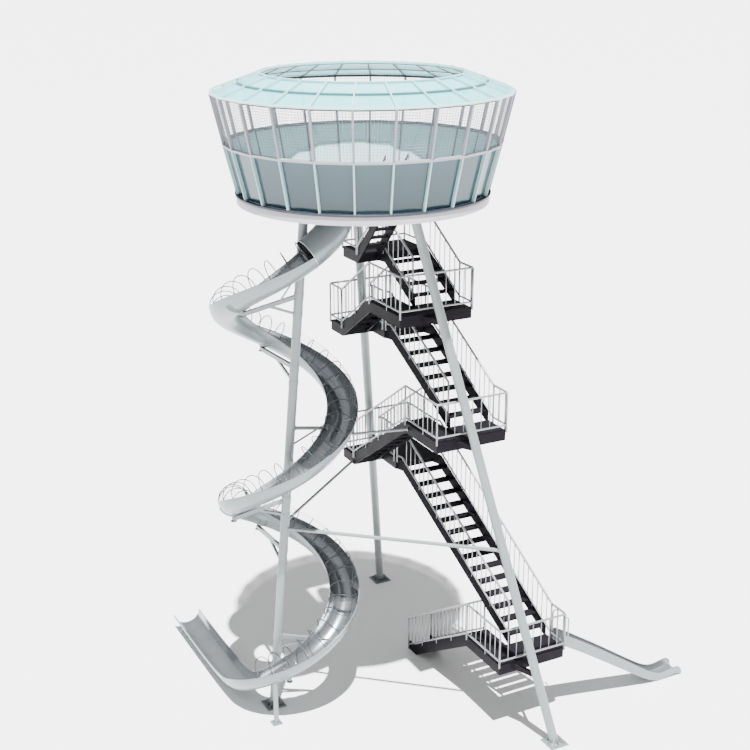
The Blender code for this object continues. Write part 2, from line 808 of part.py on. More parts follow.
# Handrails. Each runs outside the edge it guards, on posts set against that edge.
def outer_loop(name, lane, corner, landing, half=None):
    """Rail up the left side of a lane, then round the front of its main landing."""
    left = corner.x - RAIL_OUT
    right = corner.x + LANDING_W + RAIL_OUT
    front = corner.y - RAIL_OUT
    line = [
        lane.foot(-RAIL_OUT, 0.0),
        lane.foot(-RAIL_OUT, lane.run),
        Vector((left, front, corner.z)),
        Vector((right, front, corner.z)),
    ]
    count = max(1, round(lane.run / POST_PITCH))
    places = [lane.run * i / count for i in range(1, count)]
    posts = lane.posts(-RAIL_OUT, places) + [upright(p) for p in line[1:]]
    lowest = GROUND + GAP if half is None else None
    posts.append(upright(line[0], lowest))
    cutters = lane.guards() + [landing_guard(landing)]
    if half:
        cutters.append(landing_guard(half))
    return railing(name, line, posts, cutters)


def rise_loop(name, flight, corner, landing, half, line_end, cutters, bottom_from=0):
    """Rail up the right side of a flight, then round the back of its half landing."""
    side = flight.width + RAIL_OUT
    start = corner.x + LANDING_W + RAIL_OUT
    butt = RAIL_R + GAP
    outline, deck = OUTLINE[half]
    right = outline[-2][0] + RAIL_OUT
    back = outline[-2][1] + RAIL_OUT
    line = [
        Vector((start, corner.y - RAIL_OUT + butt, corner.z)),
        Vector((start, corner.y + NOTCH_L - KINK, corner.z)),
        flight.foot(side, 0.0),
        flight.foot(side, flight.run - KINK),
        flight.foot(side, flight.run),
        Vector((right, back, deck)),
        Vector((outline[0][0] - RAIL_OUT, back, deck)),
        line_end,
    ]
    line[4].x = right
    count = max(1, round(flight.run / POST_PITCH))
    places = [flight.run * i / count for i in range(1, count)]
    posts = flight.posts(side, places) + [upright(line[i]) for i in (1, 4, 5, 6)]
    trims = flight.guards() + [landing_guard(landing), landing_guard(half)]
    return railing(name, line, posts, trims + cutters, bottom_from)


def inner_rise(name, flight, landing, half, short=RAIL_OUT):
    """Rail up the left side of a flight, from landing to half landing."""
    ends = (RAIL_OUT, flight.run - short)
    line = [flight.foot(-RAIL_OUT, s) for s in (ends[0], flight.run - KINK, ends[1])]
    count = max(1, round(flight.run / POST_PITCH))
    places = [flight.run * i / count for i in range(1, count)]
    posts = flight.posts(-RAIL_OUT, places) + flight.posts(-RAIL_OUT, ends)
    cutters = flight.guards() + [landing_guard(landing), landing_guard(half)]
    return railing(name, line, posts, cutters)


def well_rail(name, lane, flight, landing, half=None, well=0.0):
    """Rail round the well: beside a half landing's cut, then up the inner side of a lane."""
    side = LANE_W + RAIL_OUT
    end = lane.run - WELL_END
    line = [lane.foot(side, 0.0), lane.foot(side, end)]
    count = max(1, round(lane.run / POST_PITCH))
    places = [lane.run * i / count for i in range(1, count)]
    posts = lane.posts(side, places + [end])
    cutters = lane.guards() + flight.guards() + [landing_guard(landing)]
    if half:
        x = lane.low.x + WELL_W - RAIL_OUT
        y = lane.low.y - RAIL_OUT
        line[0] = lane.foot(side, RAIL_OUT)
        turn = Vector((x, y, lane.low.z))
        start = Vector((x, y + RAIL_OUT - well + WELL_POST, lane.low.z))
        line = [start, turn] + line
        posts += [upright(start), upright(turn)]
        cutters.append(landing_guard(half))
    else:
        posts.append(upright(line[0], GROUND + GAP))
    return railing(name, line, posts, cutters)


outer_loop("rail_outer_low", LANE_GROUND, LOW, "landing_low")
outer_loop("rail_outer_mid", LANE_MID, MID, "landing_mid", "half_landing_mid")
outer_loop("rail_outer_high", LANE_HIGH, HIGH, "landing_high", "half_landing_high")

BUTT = Vector((-RAIL_OUT, RAIL_R + GAP, 0))
back_leg = leg_cutter(LEG_BACK)
rise_loop("rail_rise_low", UP_LOW, LOW, "landing_low", "half_landing_mid", HALF_MID + BUTT, [], 1)
rise_loop("rail_rise_mid", UP_MID, MID, "landing_mid", "half_landing_high", HALF_HIGH + BUTT, [back_leg])
back_leg = leg_cutter(LEG_BACK)
rise_loop("rail_rise_high", UP_HIGH, HIGH, "landing_high", "half_landing_top", HALF_TOP + BUTT, [back_leg])

inner_rise("rail_inner_low", UP_LOW, "landing_low", "half_landing_mid")
inner_rise("rail_inner_mid", UP_MID, "landing_mid", "half_landing_high")
inner_rise("rail_inner_high", UP_HIGH, "landing_high", "half_landing_top", INNER_SHORT)

well_rail("rail_well_low", LANE_GROUND, UP_LOW, "landing_low")
well_rail("rail_well_mid", LANE_MID, UP_MID, "landing_mid", "half_landing_mid", WELL_MID)
well_rail("rail_well_high", LANE_HIGH, UP_HIGH, "landing_high", "half_landing_high", WELL_HIGH)


def last_rail(name, across, start):
    """Rail beside the last flight, up to the pavilion's floor."""
    end = LAST.run - RAIL_R
    places = (start + RAIL_R, (start + end) / 2, end - RAIL_R)
    line = [LAST.foot(across, start), LAST.foot(across, end)]
    cutters = LAST.guards() + [landing_guard("half_landing_top")]
    return railing(name, line, LAST.posts(across, places), cutters)


last_rail("rail_last_left", -RAIL_OUT, 0.0)
last_rail("rail_last_right", LAST_W + RAIL_OUT, LAST_RAIL_START)


# Legs and ties.
leg_body = leg_pieces(LEG_LEFT, UNDERSIDE - GAP)
slide_trims = []
for turn, root_z, strut_root_z in CONSOLES:
    leg_body += console(turn, root_z, strut_root_z)
for start, end in TROUGH_TURNS:
    slide_trims.append(slide_cutter(end + 1.0))
make("leg_left", leg_body, PAINTED, slide_trims)
make("leg_right", leg_pieces(LEG_RIGHT, UNDERSIDE - GAP), PAINTED)
make("leg_back", leg_pieces(LEG_BACK, UNDERSIDE - GAP), PAINTED)

tie_ends = [leg_point(LEG_LEFT, TIE_FRONT_Z), leg_point(LEG_RIGHT, TIE_FRONT_Z)]
make("tie_front", [pipe(tie_ends, TIE_R)], PAINTED, [leg_cutter(LEG_LEFT), leg_cutter(LEG_RIGHT)])
brace = pipe([leg_point(LEG_LEFT, BRACE_ROOT_Z), HALF_MID + BRACE_END], BRACE_R)
make("brace_half_landing", [brace], PAINTED, [leg_cutter(LEG_LEFT), landing_guard("half_landing_mid")])
strut = pipe([helix_point(STRUT_TURN, 0.0, -SECTION_R / 3), MID + STRUT_END], BRACE_R)
make("strut_slide", [strut], PAINTED, [slide_cutter(STRUT_TURN), landing_guard("landing_mid")])
root = leg_point(LEG_LEFT, SIDE_ARM_ROOT_Z)
end = helix_point(SIDE_ARM_TURN, -SIDE_ARM_IN, -SIDE_ARM_DROP)
side_arm = pipe([root, end], TIE_R)
rod = pipe([leg_point(LEG_LEFT, SIDE_ROD_ROOT_Z), root.lerp(end, SIDE_ROD_KNEE)], SIDE_ROD_R)
make("arm_slide", [side_arm, rod], PAINTED, [slide_cutter(SIDE_ARM_TURN), leg_cutter(LEG_LEFT)])


# Spiral slide.
def make_tube():
    """The closed top of the slide, cut level with the underside of the floor."""
    steps = math.ceil((TUBE_TOP - TUBE_END) / STEP_TURN)
    turns = [TUBE_END + (TUBE_TOP - TUBE_END) * i / steps for i in range(steps + 1)]
    skins = [circle(radius, TUBE_SIDES) for radius in (SECTION_R, SECTION_R - SHELL)]
    rings = [[helix_point(turn, a, b) for a, b in skin] for turn in turns for skin in skins]
    verts = [point for ring in rings for point in ring]
    faces = []
    for i in range(TUBE_SIDES):
        k = (i + 1) % TUBE_SIDES
        for step in range(steps):
            base = 2 * step * TUBE_SIDES
            for skin in (0, TUBE_SIDES):
                a = base + skin
                b = a + 2 * TUBE_SIDES
                faces.append((a + i, a + k, b + k, b + i))
        for a in (0, 2 * steps * TUBE_SIDES):
            faces.append((a + i, a + k, a + TUBE_SIDES + k, a + TUBE_SIDES + i))
    reach = 2 * HELIX_R
    low = (HELIX_AXIS.x - reach, HELIX_AXIS.y - reach, UNDERSIDE - GAP)
    above = block(low, (HELIX_AXIS.x + reach, HELIX_AXIS.y + reach, OCULUS_Z))
    return make("slide_tube_top", [solid(verts, faces)], STAINLESS, [above])


make_tube()
for number, (start, end) in enumerate(TROUGH_TURNS, 1):
    trough = helix_sweep(trough_section(), start - SEAM, end + SEAM)
    make("slide_trough_%d" % number, [trough], STAINLESS)
    cage("slide_cage_%d" % number, start - SEAM, max(end, CAGE_END) + SEAM)


def runout_centre(s):
    """The run-out's line: it flattens from the spiral's slope to a low level stretch."""
    start = helix_point(TROUGH_TURNS[-1][1])
    sink = RUNOUT_FALL * (1.0 - math.exp(-s / RUNOUT_EASE))
    return Vector((start.x, start.y + s, start.z - sink))


def runout_depth(s):
    """How deep the run-out's trough is: it grows shallower towards its end."""
    return SECTION_R * (1.0 - (1.0 - RUNOUT_END_DEPTH) * s / RUNOUT_L)


def runout_ring(s):
    """The run-out's section at a distance along it."""
    centre = runout_centre(s)
    section = trough_section(SECTION_R, runout_depth(s))
    tilt = Vector((0, RUNOUT_FALL * math.exp(-s / RUNOUT_EASE) / RUNOUT_EASE, 1)).normalized()
    return [centre + Vector((-a, 0, 0)) + tilt * b for a, b in section]


def runout_support(s):
    """A post with its plate under the run-out."""
    centre = runout_centre(s)
    foot = Vector((centre.x, centre.y, GROUND))
    head = Vector((centre.x, centre.y, centre.z - runout_depth(s) + SHELL / 2))
    return [pipe([foot, head], RUNOUT_POST_R), base_plate(foot, RUNOUT_PLATE, RUNOUT_PLATE_THICK)]


def make_runout():
    """The straight end of the slide: three sheets that meet end to end, on two supports."""
    first, outward, upward = helix_frame(TROUGH_TURNS[-1][1] - SEAM)
    rings = [[first + outward * a + upward * b for a, b in trough_section()]]
    low = 0.0
    for number, high in enumerate(RUNOUT_JOINTS, 1):
        rings += [runout_ring(s) for s in RUNOUT_STATIONS if low < s < high]
        rings.append(runout_ring(high))
        pieces = [loft(rings)]
        for s in RUNOUT_POSTS:
            if low < s < high:
                pieces += runout_support(s)
        make("slide_runout_%d" % number, pieces, STAINLESS)
        rings = [runout_ring(high + GAP)]
        low = high


make_runout()

head = Vector((SLIDE_POST_FOOT.x, SLIDE_POST_FOOT.y, helix_point(SLIDE_POST_TURN).z))
post = pipe([SLIDE_POST_FOOT, head], SLIDE_POST_R, SLIDE_POST_SIDES)
plate = base_plate(SLIDE_POST_FOOT, SLIDE_PLATE, SLIDE_PLATE_THICK)
make("slide_post", [post, plate], PAINTED, [slide_cutter(SLIDE_POST_TURN)])


def make_small_slide():
    """The straight chute from the low landing to the ground, with two grab arches."""
    y0 = LOW.y + CHUTE_NEAR
    y1 = LOW.y + CHUTE_FAR
    t = CHUTE_WALL
    rings = []
    for x, bottom, top in CHUTE_STATIONS:
        floor = bottom + CHUTE_FLOOR
        section = [
            (y0, top), (y0, bottom), (y1, bottom), (y1, top),
            (y1 - t, top), (y1 - t, floor), (y0 + t, floor), (y0 + t, top),
        ]
        rings.append([Vector((LOW.x + x, y, z)) for y, z in section])
    pieces = [loft(rings)]
    for y in (y0 + t / 2, y1 - t / 2):
        path = []
        for i in range(ARCH_SIDES + 1):
            a = math.pi * i / ARCH_SIDES
            path.append(Vector((ARCH_X - ARCH_R * math.cos(a), y, ARCH_Z + ARCH_R * math.sin(a))))
        for spot, x in ((0, ARCH_X - ARCH_R), (len(path) + 1, ARCH_X + ARCH_R)):
            path.insert(spot, Vector((x, y, ARCH_FOOT)))
        pieces.append(pipe(path, POST_R))
    return make("small_slide", pieces, STAINLESS, [landing_guard("landing_low")])


make_small_slide()


# Pavilion.
def opening(hole, low, high):
    """A hole through the floor, as a cutter."""
    return block((hole[0], hole[1], low), (hole[2], hole[3], high))


def floor_openings():
    """Cutters for the stair hole and the slide hole."""
    return [opening(h, UNDERSIDE - 1, FLOOR_TOP + 1) for h in (STAIR_HOLE, SLIDE_HOLE)]


def beam(azimuth, start, end):
    """A radial floor beam."""
    outward = Vector((math.cos(azimuth), math.sin(azimuth), 0))
    middle = Vector((0, 0, (UNDERSIDE + FLOOR_TOP - FLOOR_THICK - GAP) / 2))
    height = FLOOR_TOP - FLOOR_THICK - GAP - UNDERSIDE - 2 * BEAM_STEP
    return flat_bar(outward * start + middle, outward * end + middle, BEAM_W, height)


def make_floor():
    """Beams, plate, fascia and band."""
    plate_low = FLOOR_TOP - FLOOR_THICK
    rim = FASCIA_R - FASCIA_THICK
    top = plate_low - GAP
    rings = []
    for radius in (rim - GAP, BEAM_RING_R):
        profile = [(radius - BEAM_W, UNDERSIDE), (radius, UNDERSIDE), (radius, top), (radius - BEAM_W, top)]
        rings.append(ring_profile(profile))
    beams = [beam(math.tau * i / BEAMS, BEAM_RING_R - BEAM_W / 2, rim - BEAM_W / 2) for i in range(BEAMS)]
    head = LEG_BACK[1]
    beams.append(beam(math.atan2(head.y, head.x), BEAM_RING_R - BEAM_W / 2, rim - BEAM_W / 2))
    make("floor_beams", rings + beams, PAINTED, floor_openings())
    turns = [math.tau * i / SIDES for i in range(SIDES)]
    disc = [((rim - GAP) * math.cos(t), (rim - GAP) * math.sin(t)) for t in turns]
    plate = slab(disc, plate_low, FLOOR_TOP)
    make("floor_plate", [plate], DECKING, floor_openings())
    fascia = [(rim, UNDERSIDE), (FASCIA_R, UNDERSIDE), (FASCIA_R, RING_TOP), (rim, RING_TOP)]
    make("floor_ring", [ring_profile(fascia)], FASCIA)
    low = RING_TOP + GAP
    band = [(BAND_IN, low), (BAND_OUT, low), (BAND_OUT, GLASS_FOOT_Z), (BAND_IN, GLASS_FOOT_Z)]
    make("base_band", [ring_profile(band)], DARK_BAND)


make_floor()

FOOT = (GLASS_FOOT_R, GLASS_FOOT_Z + GAP)
MIDDLE = (MID_RAIL_R, MID_RAIL_Z)
EAVE = (EAVE_R, EAVE_Z)
PURLIN = (PURLIN_R, PURLIN_Z)
OCULUS = (OCULUS_R, OCULUS_Z)


chain = [FOOT, MIDDLE, EAVE, PURLIN, OCULUS]
margins = [
    (2 * RAIL_HALF, RAIL_HALF),
    (RAIL_HALF, RAIL_HALF),
    (RAIL_HALF, PURLIN_HALF),
    (PURLIN_HALF, 2 * RAIL_HALF),
]
make("pavilion_frame", [lattice(chain, margins)], FRAME_WHITE)


def sheet(name, points, thickness, material, trims=(SHEET_GAP, SHEET_GAP)):
    """A closed ring of sheet behind the frame."""
    outer = -MULLION_D / 2 - GAP
    trimmed = list(points)
    trimmed[0] = toward(points[0], points[1], trims[0])
    trimmed[-1] = toward(points[-1], points[-2], trims[1])
    make(name, [ring_profile(strip(trimmed, outer - thickness, outer))], material)


sheet("glass_wall", [FOOT, MIDDLE], GLASS_THICK, LOWER_GLASS)
sheet("net_wall", [MIDDLE, EAVE], NET_THICK, NET, (SHEET_GAP, NET_TRIM))
sheet("roof_glass", [EAVE, PURLIN, OCULUS], GLASS_THICK, ROOF_GLASS, (ROOF_TRIM, SHEET_GAP))


def settle_origin():
    """Shift every mesh so the origin is the middle of the footprint, on the ground."""
    corners = [v.co for item in bpy.context.scene.objects for v in item.data.vertices]
    low = Vector([min(c[i] for c in corners) for i in range(3)])
    high = Vector([max(c[i] for c in corners) for i in range(3)])
    shift = Vector(((low.x + high.x) / 2, (low.y + high.y) / 2, low.z))
    for item in bpy.context.scene.objects:
        item.data.transform(Matrix.Translation(-shift))


settle_origin()
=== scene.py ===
# %% [markdown]
# # Water slide tower
# A round glass pavilion stands on three raking legs. People climb a zigzag steel stair and
# ride down a stainless spiral slide. A short straight chute leaves the lowest landing.
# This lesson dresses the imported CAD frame. Rails, hoops, wires and bolts come from Geometry
# Nodes, because they repeat or follow a line. The slide is a section carried along a helix,
# because its shape follows one rule.

import math

import bmesh
import bpy
from mathutils import Matrix, Vector


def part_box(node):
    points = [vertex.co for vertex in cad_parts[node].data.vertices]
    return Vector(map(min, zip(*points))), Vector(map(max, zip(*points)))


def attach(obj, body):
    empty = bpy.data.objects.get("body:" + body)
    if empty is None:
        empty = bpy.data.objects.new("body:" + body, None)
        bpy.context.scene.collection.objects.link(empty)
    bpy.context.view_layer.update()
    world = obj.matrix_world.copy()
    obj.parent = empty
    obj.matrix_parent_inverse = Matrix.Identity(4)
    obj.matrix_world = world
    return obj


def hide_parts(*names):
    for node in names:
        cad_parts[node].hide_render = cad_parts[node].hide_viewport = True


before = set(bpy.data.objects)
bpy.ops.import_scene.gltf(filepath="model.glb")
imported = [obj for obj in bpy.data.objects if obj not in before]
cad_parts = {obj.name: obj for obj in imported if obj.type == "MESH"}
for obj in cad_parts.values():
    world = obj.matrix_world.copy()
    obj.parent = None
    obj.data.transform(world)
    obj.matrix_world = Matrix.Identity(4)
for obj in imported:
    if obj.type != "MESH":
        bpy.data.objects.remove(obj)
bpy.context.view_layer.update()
print("nodes in the frame:", len(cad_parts))

# %% [markdown]
# Every height and place below is measured from the pavilion's axis, as a builder sets out a
# tower from its centre. The centre of the pale ring under the floor gives that axis. GAP is
# the air between two parts that meet, and CORNERS are the signs of a square's corners.

# %% Setting out
ring_low, ring_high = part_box("floor_ring")
AXIS = Vector(((ring_low.x + ring_high.x) / 2, (ring_low.y + ring_high.y) / 2, 0.0))
GAP = 0.0003
UPWARDS = Vector((0, 0, 1))
CORNERS = ((-1, -1), (1, -1), (1, 1), (-1, 1))


def at(x, y, z=0.0):
    """A point given from the pavilion's axis."""
    return AXIS + Vector((x, y, z))


print("pavilion axis:", [round(v, 3) for v in AXIS])

# %% [markdown]
# A node tree is easier to read when each node takes one line. This helper adds a node, sets
# its choices, and fills or links its inputs by name.

# %% Node helper
def add(tree, kind, choices=None, **inputs):
    """Add a node. A socket given as an input is linked, and any other value is set.

    An underscore stands for a space, and input_0 is the first input, whatever its name.
    """
    node = tree.nodes.new(kind)
    for name, value in (choices or {}).items():
        setattr(node, name, value)
    for name, value in inputs.items():
        wanted = name.replace("_", " ")
        if wanted.startswith("input "):
            socket = node.inputs[int(wanted.split()[1])]
        else:
            socket = next(s for s in node.inputs if s.name == wanted and s.enabled)
        if isinstance(value, bpy.types.NodeSocket):
            tree.links.new(value, socket)
        else:
            socket.default_value = value
    return node


def work_out(tree, operation, a, b):
    """The result of one Math node."""
    return add(tree, "ShaderNodeMath", {"operation": operation}, input_0=a, input_1=b).outputs[0]


def mix_tones(tree, share, a, b, **choices):
    """Two colours mixed by a share."""
    node = add(tree, "ShaderNodeMix", {"data_type": "RGBA", **choices}, Factor=share, A=a, B=b)
    return next(s for s in node.outputs if s.enabled)


# %% [markdown]
# Steel, glass and paint all vary a little: rain marks, dust and brushing. Two shader groups
# make that once. The first mixes two tones by a soft noise. The second draws fine lines that
# follow one direction, for brushed sheet. Each material sets its own scale and tones.

# %% Shared shader groups
def name_inputs(tree, inputs):
    """Named inputs of a group or a tree, each with its first value."""
    for socket, kind, value in inputs:
        made = tree.interface.new_socket(socket, in_out="INPUT", socket_type=kind)
        if value is not None:
            made.default_value = value


def shader_group(name, inputs, outputs):
    """An empty shader group with named sockets."""
    group = bpy.data.node_groups.new(name, "ShaderNodeTree")
    name_inputs(group, inputs)
    for socket, kind in outputs:
        group.interface.new_socket(socket, in_out="OUTPUT", socket_type=kind)
    return group, group.nodes.new("NodeGroupInput"), group.nodes.new("NodeGroupOutput")


def make_tone_group():
    """Two tones mixed by soft noise, with a mask for roughness."""
    group, source, sink = shader_group(
        "weathered_tone",
        [
            ("Vector", "NodeSocketVector", None),
            ("Light", "NodeSocketColor", (0.8, 0.8, 0.8, 1)),
            ("Dark", "NodeSocketColor", (0.6, 0.6, 0.6, 1)),
            ("Scale", "NodeSocketFloat", 1.0),
        ],
        [("Color", "NodeSocketColor"), ("Mask", "NodeSocketFloat")],
    )
    broad = add(group, "ShaderNodeTexNoise", Vector=source.outputs["Vector"],
                Scale=source.outputs["Scale"], Detail=5.0, Roughness=0.6)
    colour = mix_tones(group, broad.outputs["Fac"], source.outputs["Light"], source.outputs["Dark"])
    group.links.new(colour, sink.inputs["Color"])
    group.links.new(broad.outputs["Fac"], sink.inputs["Mask"])
    return group


def make_line_group():
    """Fine lines along one direction of a vector, as a mask."""
    group, source, sink = shader_group(
        "drawn_lines",
        [
            ("Vector", "NodeSocketVector", None),
            ("Stretch", "NodeSocketVector", (1.0, 30.0, 1.0)),
            ("Scale", "NodeSocketFloat", 6.0),
        ],
        [("Mask", "NodeSocketFloat")],
    )
    pulled = add(group, "ShaderNodeVectorMath", {"operation": "MULTIPLY"},
                 input_0=source.outputs["Vector"], input_1=source.outputs["Stretch"])
    noise = add(group, "ShaderNodeTexNoise", Vector=pulled.outputs[0],
                Scale=source.outputs["Scale"], Detail=3.0, Roughness=0.55)
    group.links.new(noise.outputs["Fac"], sink.inputs["Mask"])
    return group


TONE = make_tone_group()
LINES = make_line_group()
print("shader groups:", TONE.name, LINES.name)


# %% [markdown]
# Each finish is one material. The paint on the legs is a pale blue grey with a faint orange
# peel. The stair is charcoal powder coat. Rails are galvanised, so they show a spangle of
# crystals. The slide is stainless sheet, polished inside where people slide.

# %% Material helpers
def use_group(tree, group, **inputs):
    """Place a shader group and fill its inputs."""
    node = tree.nodes.new("ShaderNodeGroup")
    node.node_tree = group
    for name, value in inputs.items():
        if isinstance(value, bpy.types.NodeSocket):
            tree.links.new(value, node.inputs[name])
        else:
            node.inputs[name].default_value = value
    return node


def finish(name, metallic=0.0, coat=0.0, transmission=0.0, ior=1.5):
    """A material with the constant values set on its shader."""
    material = bpy.data.materials.new(name)
    material.use_nodes = True
    tree = material.node_tree
    shader = tree.nodes["Principled BSDF"]
    shader.inputs["Metallic"].default_value = metallic
    shader.inputs["Coat Weight"].default_value = coat
    shader.inputs["Transmission Weight"].default_value = transmission
    shader.inputs["IOR"].default_value = ior
    return material, tree, shader


def spread(tree, value, low, high):
    """Map a mask from 0..1 to a range."""
    return add(tree, "ShaderNodeMapRange", Value=value, To_Min=low, To_Max=high).outputs[0]


def relief(tree, shader, height, depth, strength=0.3):
    """A Bump node that feeds the shader's normal."""
    bump = add(tree, "ShaderNodeBump", Height=height, Strength=strength, Distance=depth)
    tree.links.new(bump.outputs[0], shader.inputs["Normal"])


def object_point(tree):
    """Object coordinates, which are the tower's own metres."""
    return tree.nodes.new("ShaderNodeTexCoord").outputs["Object"]


def two_tones(tree, where, light, dark, scale):
    """The tone group with its two tones and the scale of its clouds."""
    return use_group(tree, TONE, Vector=where, Light=(*light, 1), Dark=(*dark, 1), Scale=scale)


def toned(name, light, dark, scale, rough, metallic=0.0, coat=0.0, grain=None):
    """A finish of two tones. Roughness follows them; a grain is its scale and its depth."""
    material, tree, shader = finish(name, metallic, coat)
    where = object_point(tree)
    tone = two_tones(tree, where, light, dark, scale)
    tree.links.new(tone.outputs["Color"], shader.inputs["Base Color"])
    tree.links.new(spread(tree, tone.outputs["Mask"], *rough), shader.inputs["Roughness"])
    if grain:
        fine = add(tree, "ShaderNodeTexNoise", Vector=where, Scale=grain[0], Detail=2.0)
        relief(tree, shader, fine.outputs["Fac"], grain[1])
    return material


# %% Paints and plain finishes
LEG_PAINT = toned("leg_paint", (0.215, 0.240, 0.240), (0.160, 0.183, 0.183), 0.9, (0.38, 0.50),
                  metallic=0.15, grain=(160.0, 0.0006))
FASCIA_PAINT = toned("fascia_paint", (0.42, 0.40, 0.44), (0.34, 0.33, 0.37), 0.7, (0.4, 0.55),
                     coat=0.1, grain=(120.0, 0.0005))
SEAL = toned("dark_seal", (0.012, 0.014, 0.03), (0.007, 0.009, 0.02), 2.0, (0.45, 0.6))
MULLION_PAINT = toned("mullion_paint", (0.30, 0.45, 0.47), (0.24, 0.38, 0.40), 0.8, (0.3, 0.45))
POST_PAINT = toned("upper_post_paint", (0.24, 0.24, 0.27), (0.18, 0.18, 0.21), 0.8, (0.35, 0.5))
MIDDLE_PAINT = toned("middle_rail_paint", (0.32, 0.31, 0.35), (0.25, 0.24, 0.28), 0.8, (0.35, 0.5))
RAFTER_PAINT = toned("rafter_paint", (0.52, 0.74, 0.75), (0.44, 0.65, 0.66), 0.6, (0.3, 0.45))
PURLIN_PAINT = toned("purlin_paint", (0.10, 0.22, 0.23), (0.07, 0.17, 0.18), 0.8, (0.35, 0.5))
# Near black: painted shade for the undersides of the roof's rafters.
RAFTER_UNDERSIDE_SHADE = toned("dark_trim", (0.030, 0.036, 0.045), (0.018, 0.022, 0.030), 1.2, (0.4, 0.55))
WIRE = toned("wire", (0.34, 0.34, 0.37), (0.25, 0.25, 0.28), 1.5, (0.35, 0.5), metallic=0.3)
BOLT = toned("bolt_zinc", (0.34, 0.35, 0.36), (0.20, 0.21, 0.22), 14.0, (0.3, 0.5), metallic=0.8)
DECKING = toned("pavilion_deck", (0.15, 0.155, 0.165), (0.10, 0.105, 0.115), 1.6, (0.55, 0.75),
                grain=(60.0, 0.001))
SATIN_PLAIN = toned("satin_tube", (0.28, 0.30, 0.31), (0.20, 0.22, 0.23), 1.8, (0.28, 0.42), metallic=0.5)
# The hoops are stainless, but this finish is near black: painted shade, so they read dark against the pale
# floor.
HOOP_PAINTED_SHADE = toned("hoop_steel", (0.034, 0.035, 0.038), (0.020, 0.021, 0.024), 2.2, (0.4, 0.55),
                   metallic=0.2)
print("plain finishes made")

# %% [markdown]
# Galvanised steel has a spangle: crystals of zinc, each a little lighter or darker. Voronoi
# cells give it. The stair's walking surfaces are open grating, which from a distance reads as
# a fine grid, so only faces that look upwards get it.

# %% Galvanised and charcoal steel
ZINC_LIGHT, ZINC_DARK = (0.36, 0.37, 0.385), (0.25, 0.26, 0.275)
CRYSTALS, CRYSTAL_SHARE = 70.0, 0.18
COAT_LIGHT, COAT_DARK = (0.0080, 0.0066, 0.0095), (0.0040, 0.0033, 0.0050)
GRATING_TONE, GRATING_SHARE, GRATING_DEEP = (0.022, 0.021, 0.025), 0.3, 0.004
GRATING_BARS = (("X", 4.8), ("Y", 9.6))
LOOKS_UP = 0.9


def make_galvanised():
    """Zinc crystals over a pale grey metal."""
    material, tree, shader = finish("galvanised_rail", metallic=0.55)
    where = object_point(tree)
    tone = two_tones(tree, where, ZINC_LIGHT, ZINC_DARK, 1.4)
    cells = add(tree, "ShaderNodeTexVoronoi", Vector=where, Scale=CRYSTALS)
    shade = mix_tones(tree, CRYSTAL_SHARE, tone.outputs["Color"], cells.outputs["Color"], blend_type="MULTIPLY")
    tree.links.new(shade, shader.inputs["Base Color"])
    tree.links.new(spread(tree, cells.outputs["Distance"], 0.34, 0.5), shader.inputs["Roughness"])
    return material


def make_charcoal():
    """Powder coat, with a grating pattern where a face looks upwards."""
    material, tree, shader = finish("charcoal_stair")
    where = object_point(tree)
    tone = two_tones(tree, where, COAT_LIGHT, COAT_DARK, 1.1)
    bars = []
    for direction, scale in GRATING_BARS:
        wave = add(tree, "ShaderNodeTexWave", {"wave_type": "BANDS", "bands_direction": direction},
                   Vector=where, Scale=scale)
        bars.append(wave.outputs["Fac"])
    grid = work_out(tree, "MAXIMUM", bars[0], bars[1])
    facing = tree.nodes.new("ShaderNodeNewGeometry")
    parts = add(tree, "ShaderNodeSeparateXYZ", Vector=facing.outputs["Normal"])
    upward = work_out(tree, "GREATER_THAN", parts.outputs["Z"], LOOKS_UP)
    mask = work_out(tree, "MULTIPLY", grid, upward)
    share = work_out(tree, "MULTIPLY", mask, GRATING_SHARE)
    lift = mix_tones(tree, share, tone.outputs["Color"], (*GRATING_TONE, 1))
    tree.links.new(lift, shader.inputs["Base Color"])
    tree.links.new(spread(tree, tone.outputs["Mask"], 0.42, 0.62), shader.inputs["Roughness"])
    relief(tree, shader, mask, GRATING_DEEP, 0.5)
    shader.inputs["Specular IOR Level"].default_value = 0.06
    return material


GALVANISED = make_galvanised()
CHARCOAL = make_charcoal()
print("finishes:", GALVANISED.name, CHARCOAL.name)


# %% [markdown]
# Stainless sheet is rolled and polished along its length, so its reflections smear into long
# streaks. The slide carries a UV map with metres along it and round it, and the streaks follow
# that. The running surface is darker and glossier than the outside, which is left satin.

# %% Stainless sheet
STREAK_TONE, STREAK_SHARE = (0.6, 0.62, 0.64), 0.35
STREAK_STRETCH = (0.12, 9.0, 1.0)


def make_stainless(name, light, dark, metallic, rough):
    """Brushed sheet whose lines follow the UV map."""
    material, tree, shader = finish(name, metallic)
    along = tree.nodes.new("ShaderNodeUVMap")
    along.uv_map = "sheet"
    line = use_group(tree, LINES, Vector=along.outputs["UV"], Stretch=STREAK_STRETCH, Scale=2.0)
    tone = two_tones(tree, object_point(tree), light, dark, 1.3)
    share = spread(tree, line.outputs["Mask"], 0.0, STREAK_SHARE)
    streak = mix_tones(tree, share, tone.outputs["Color"], (*STREAK_TONE, 1), blend_type="MULTIPLY")
    tree.links.new(streak, shader.inputs["Base Color"])
    tree.links.new(spread(tree, line.outputs["Mask"], *rough), shader.inputs["Roughness"])
    relief(tree, shader, line.outputs["Mask"], 0.0004, 0.06)
    return material


RUNNING = make_stainless("running_surface", (0.46, 0.48, 0.50), (0.28, 0.30, 0.32), 0.88, (0.14, 0.30))
SATIN = make_stainless("satin_sheet", (0.235, 0.262, 0.272), (0.175, 0.202, 0.212), 0.45, (0.26, 0.40))
BRIGHT = toned("bright_rod", (0.46, 0.47, 0.49), (0.34, 0.35, 0.37), 2.0, (0.2, 0.34), metallic=0.75)
CHUTE_BED = make_stainless("chute_bed", (0.26, 0.275, 0.285), (0.19, 0.205, 0.215), 0.6, (0.22, 0.38))
print("stainless finishes made")
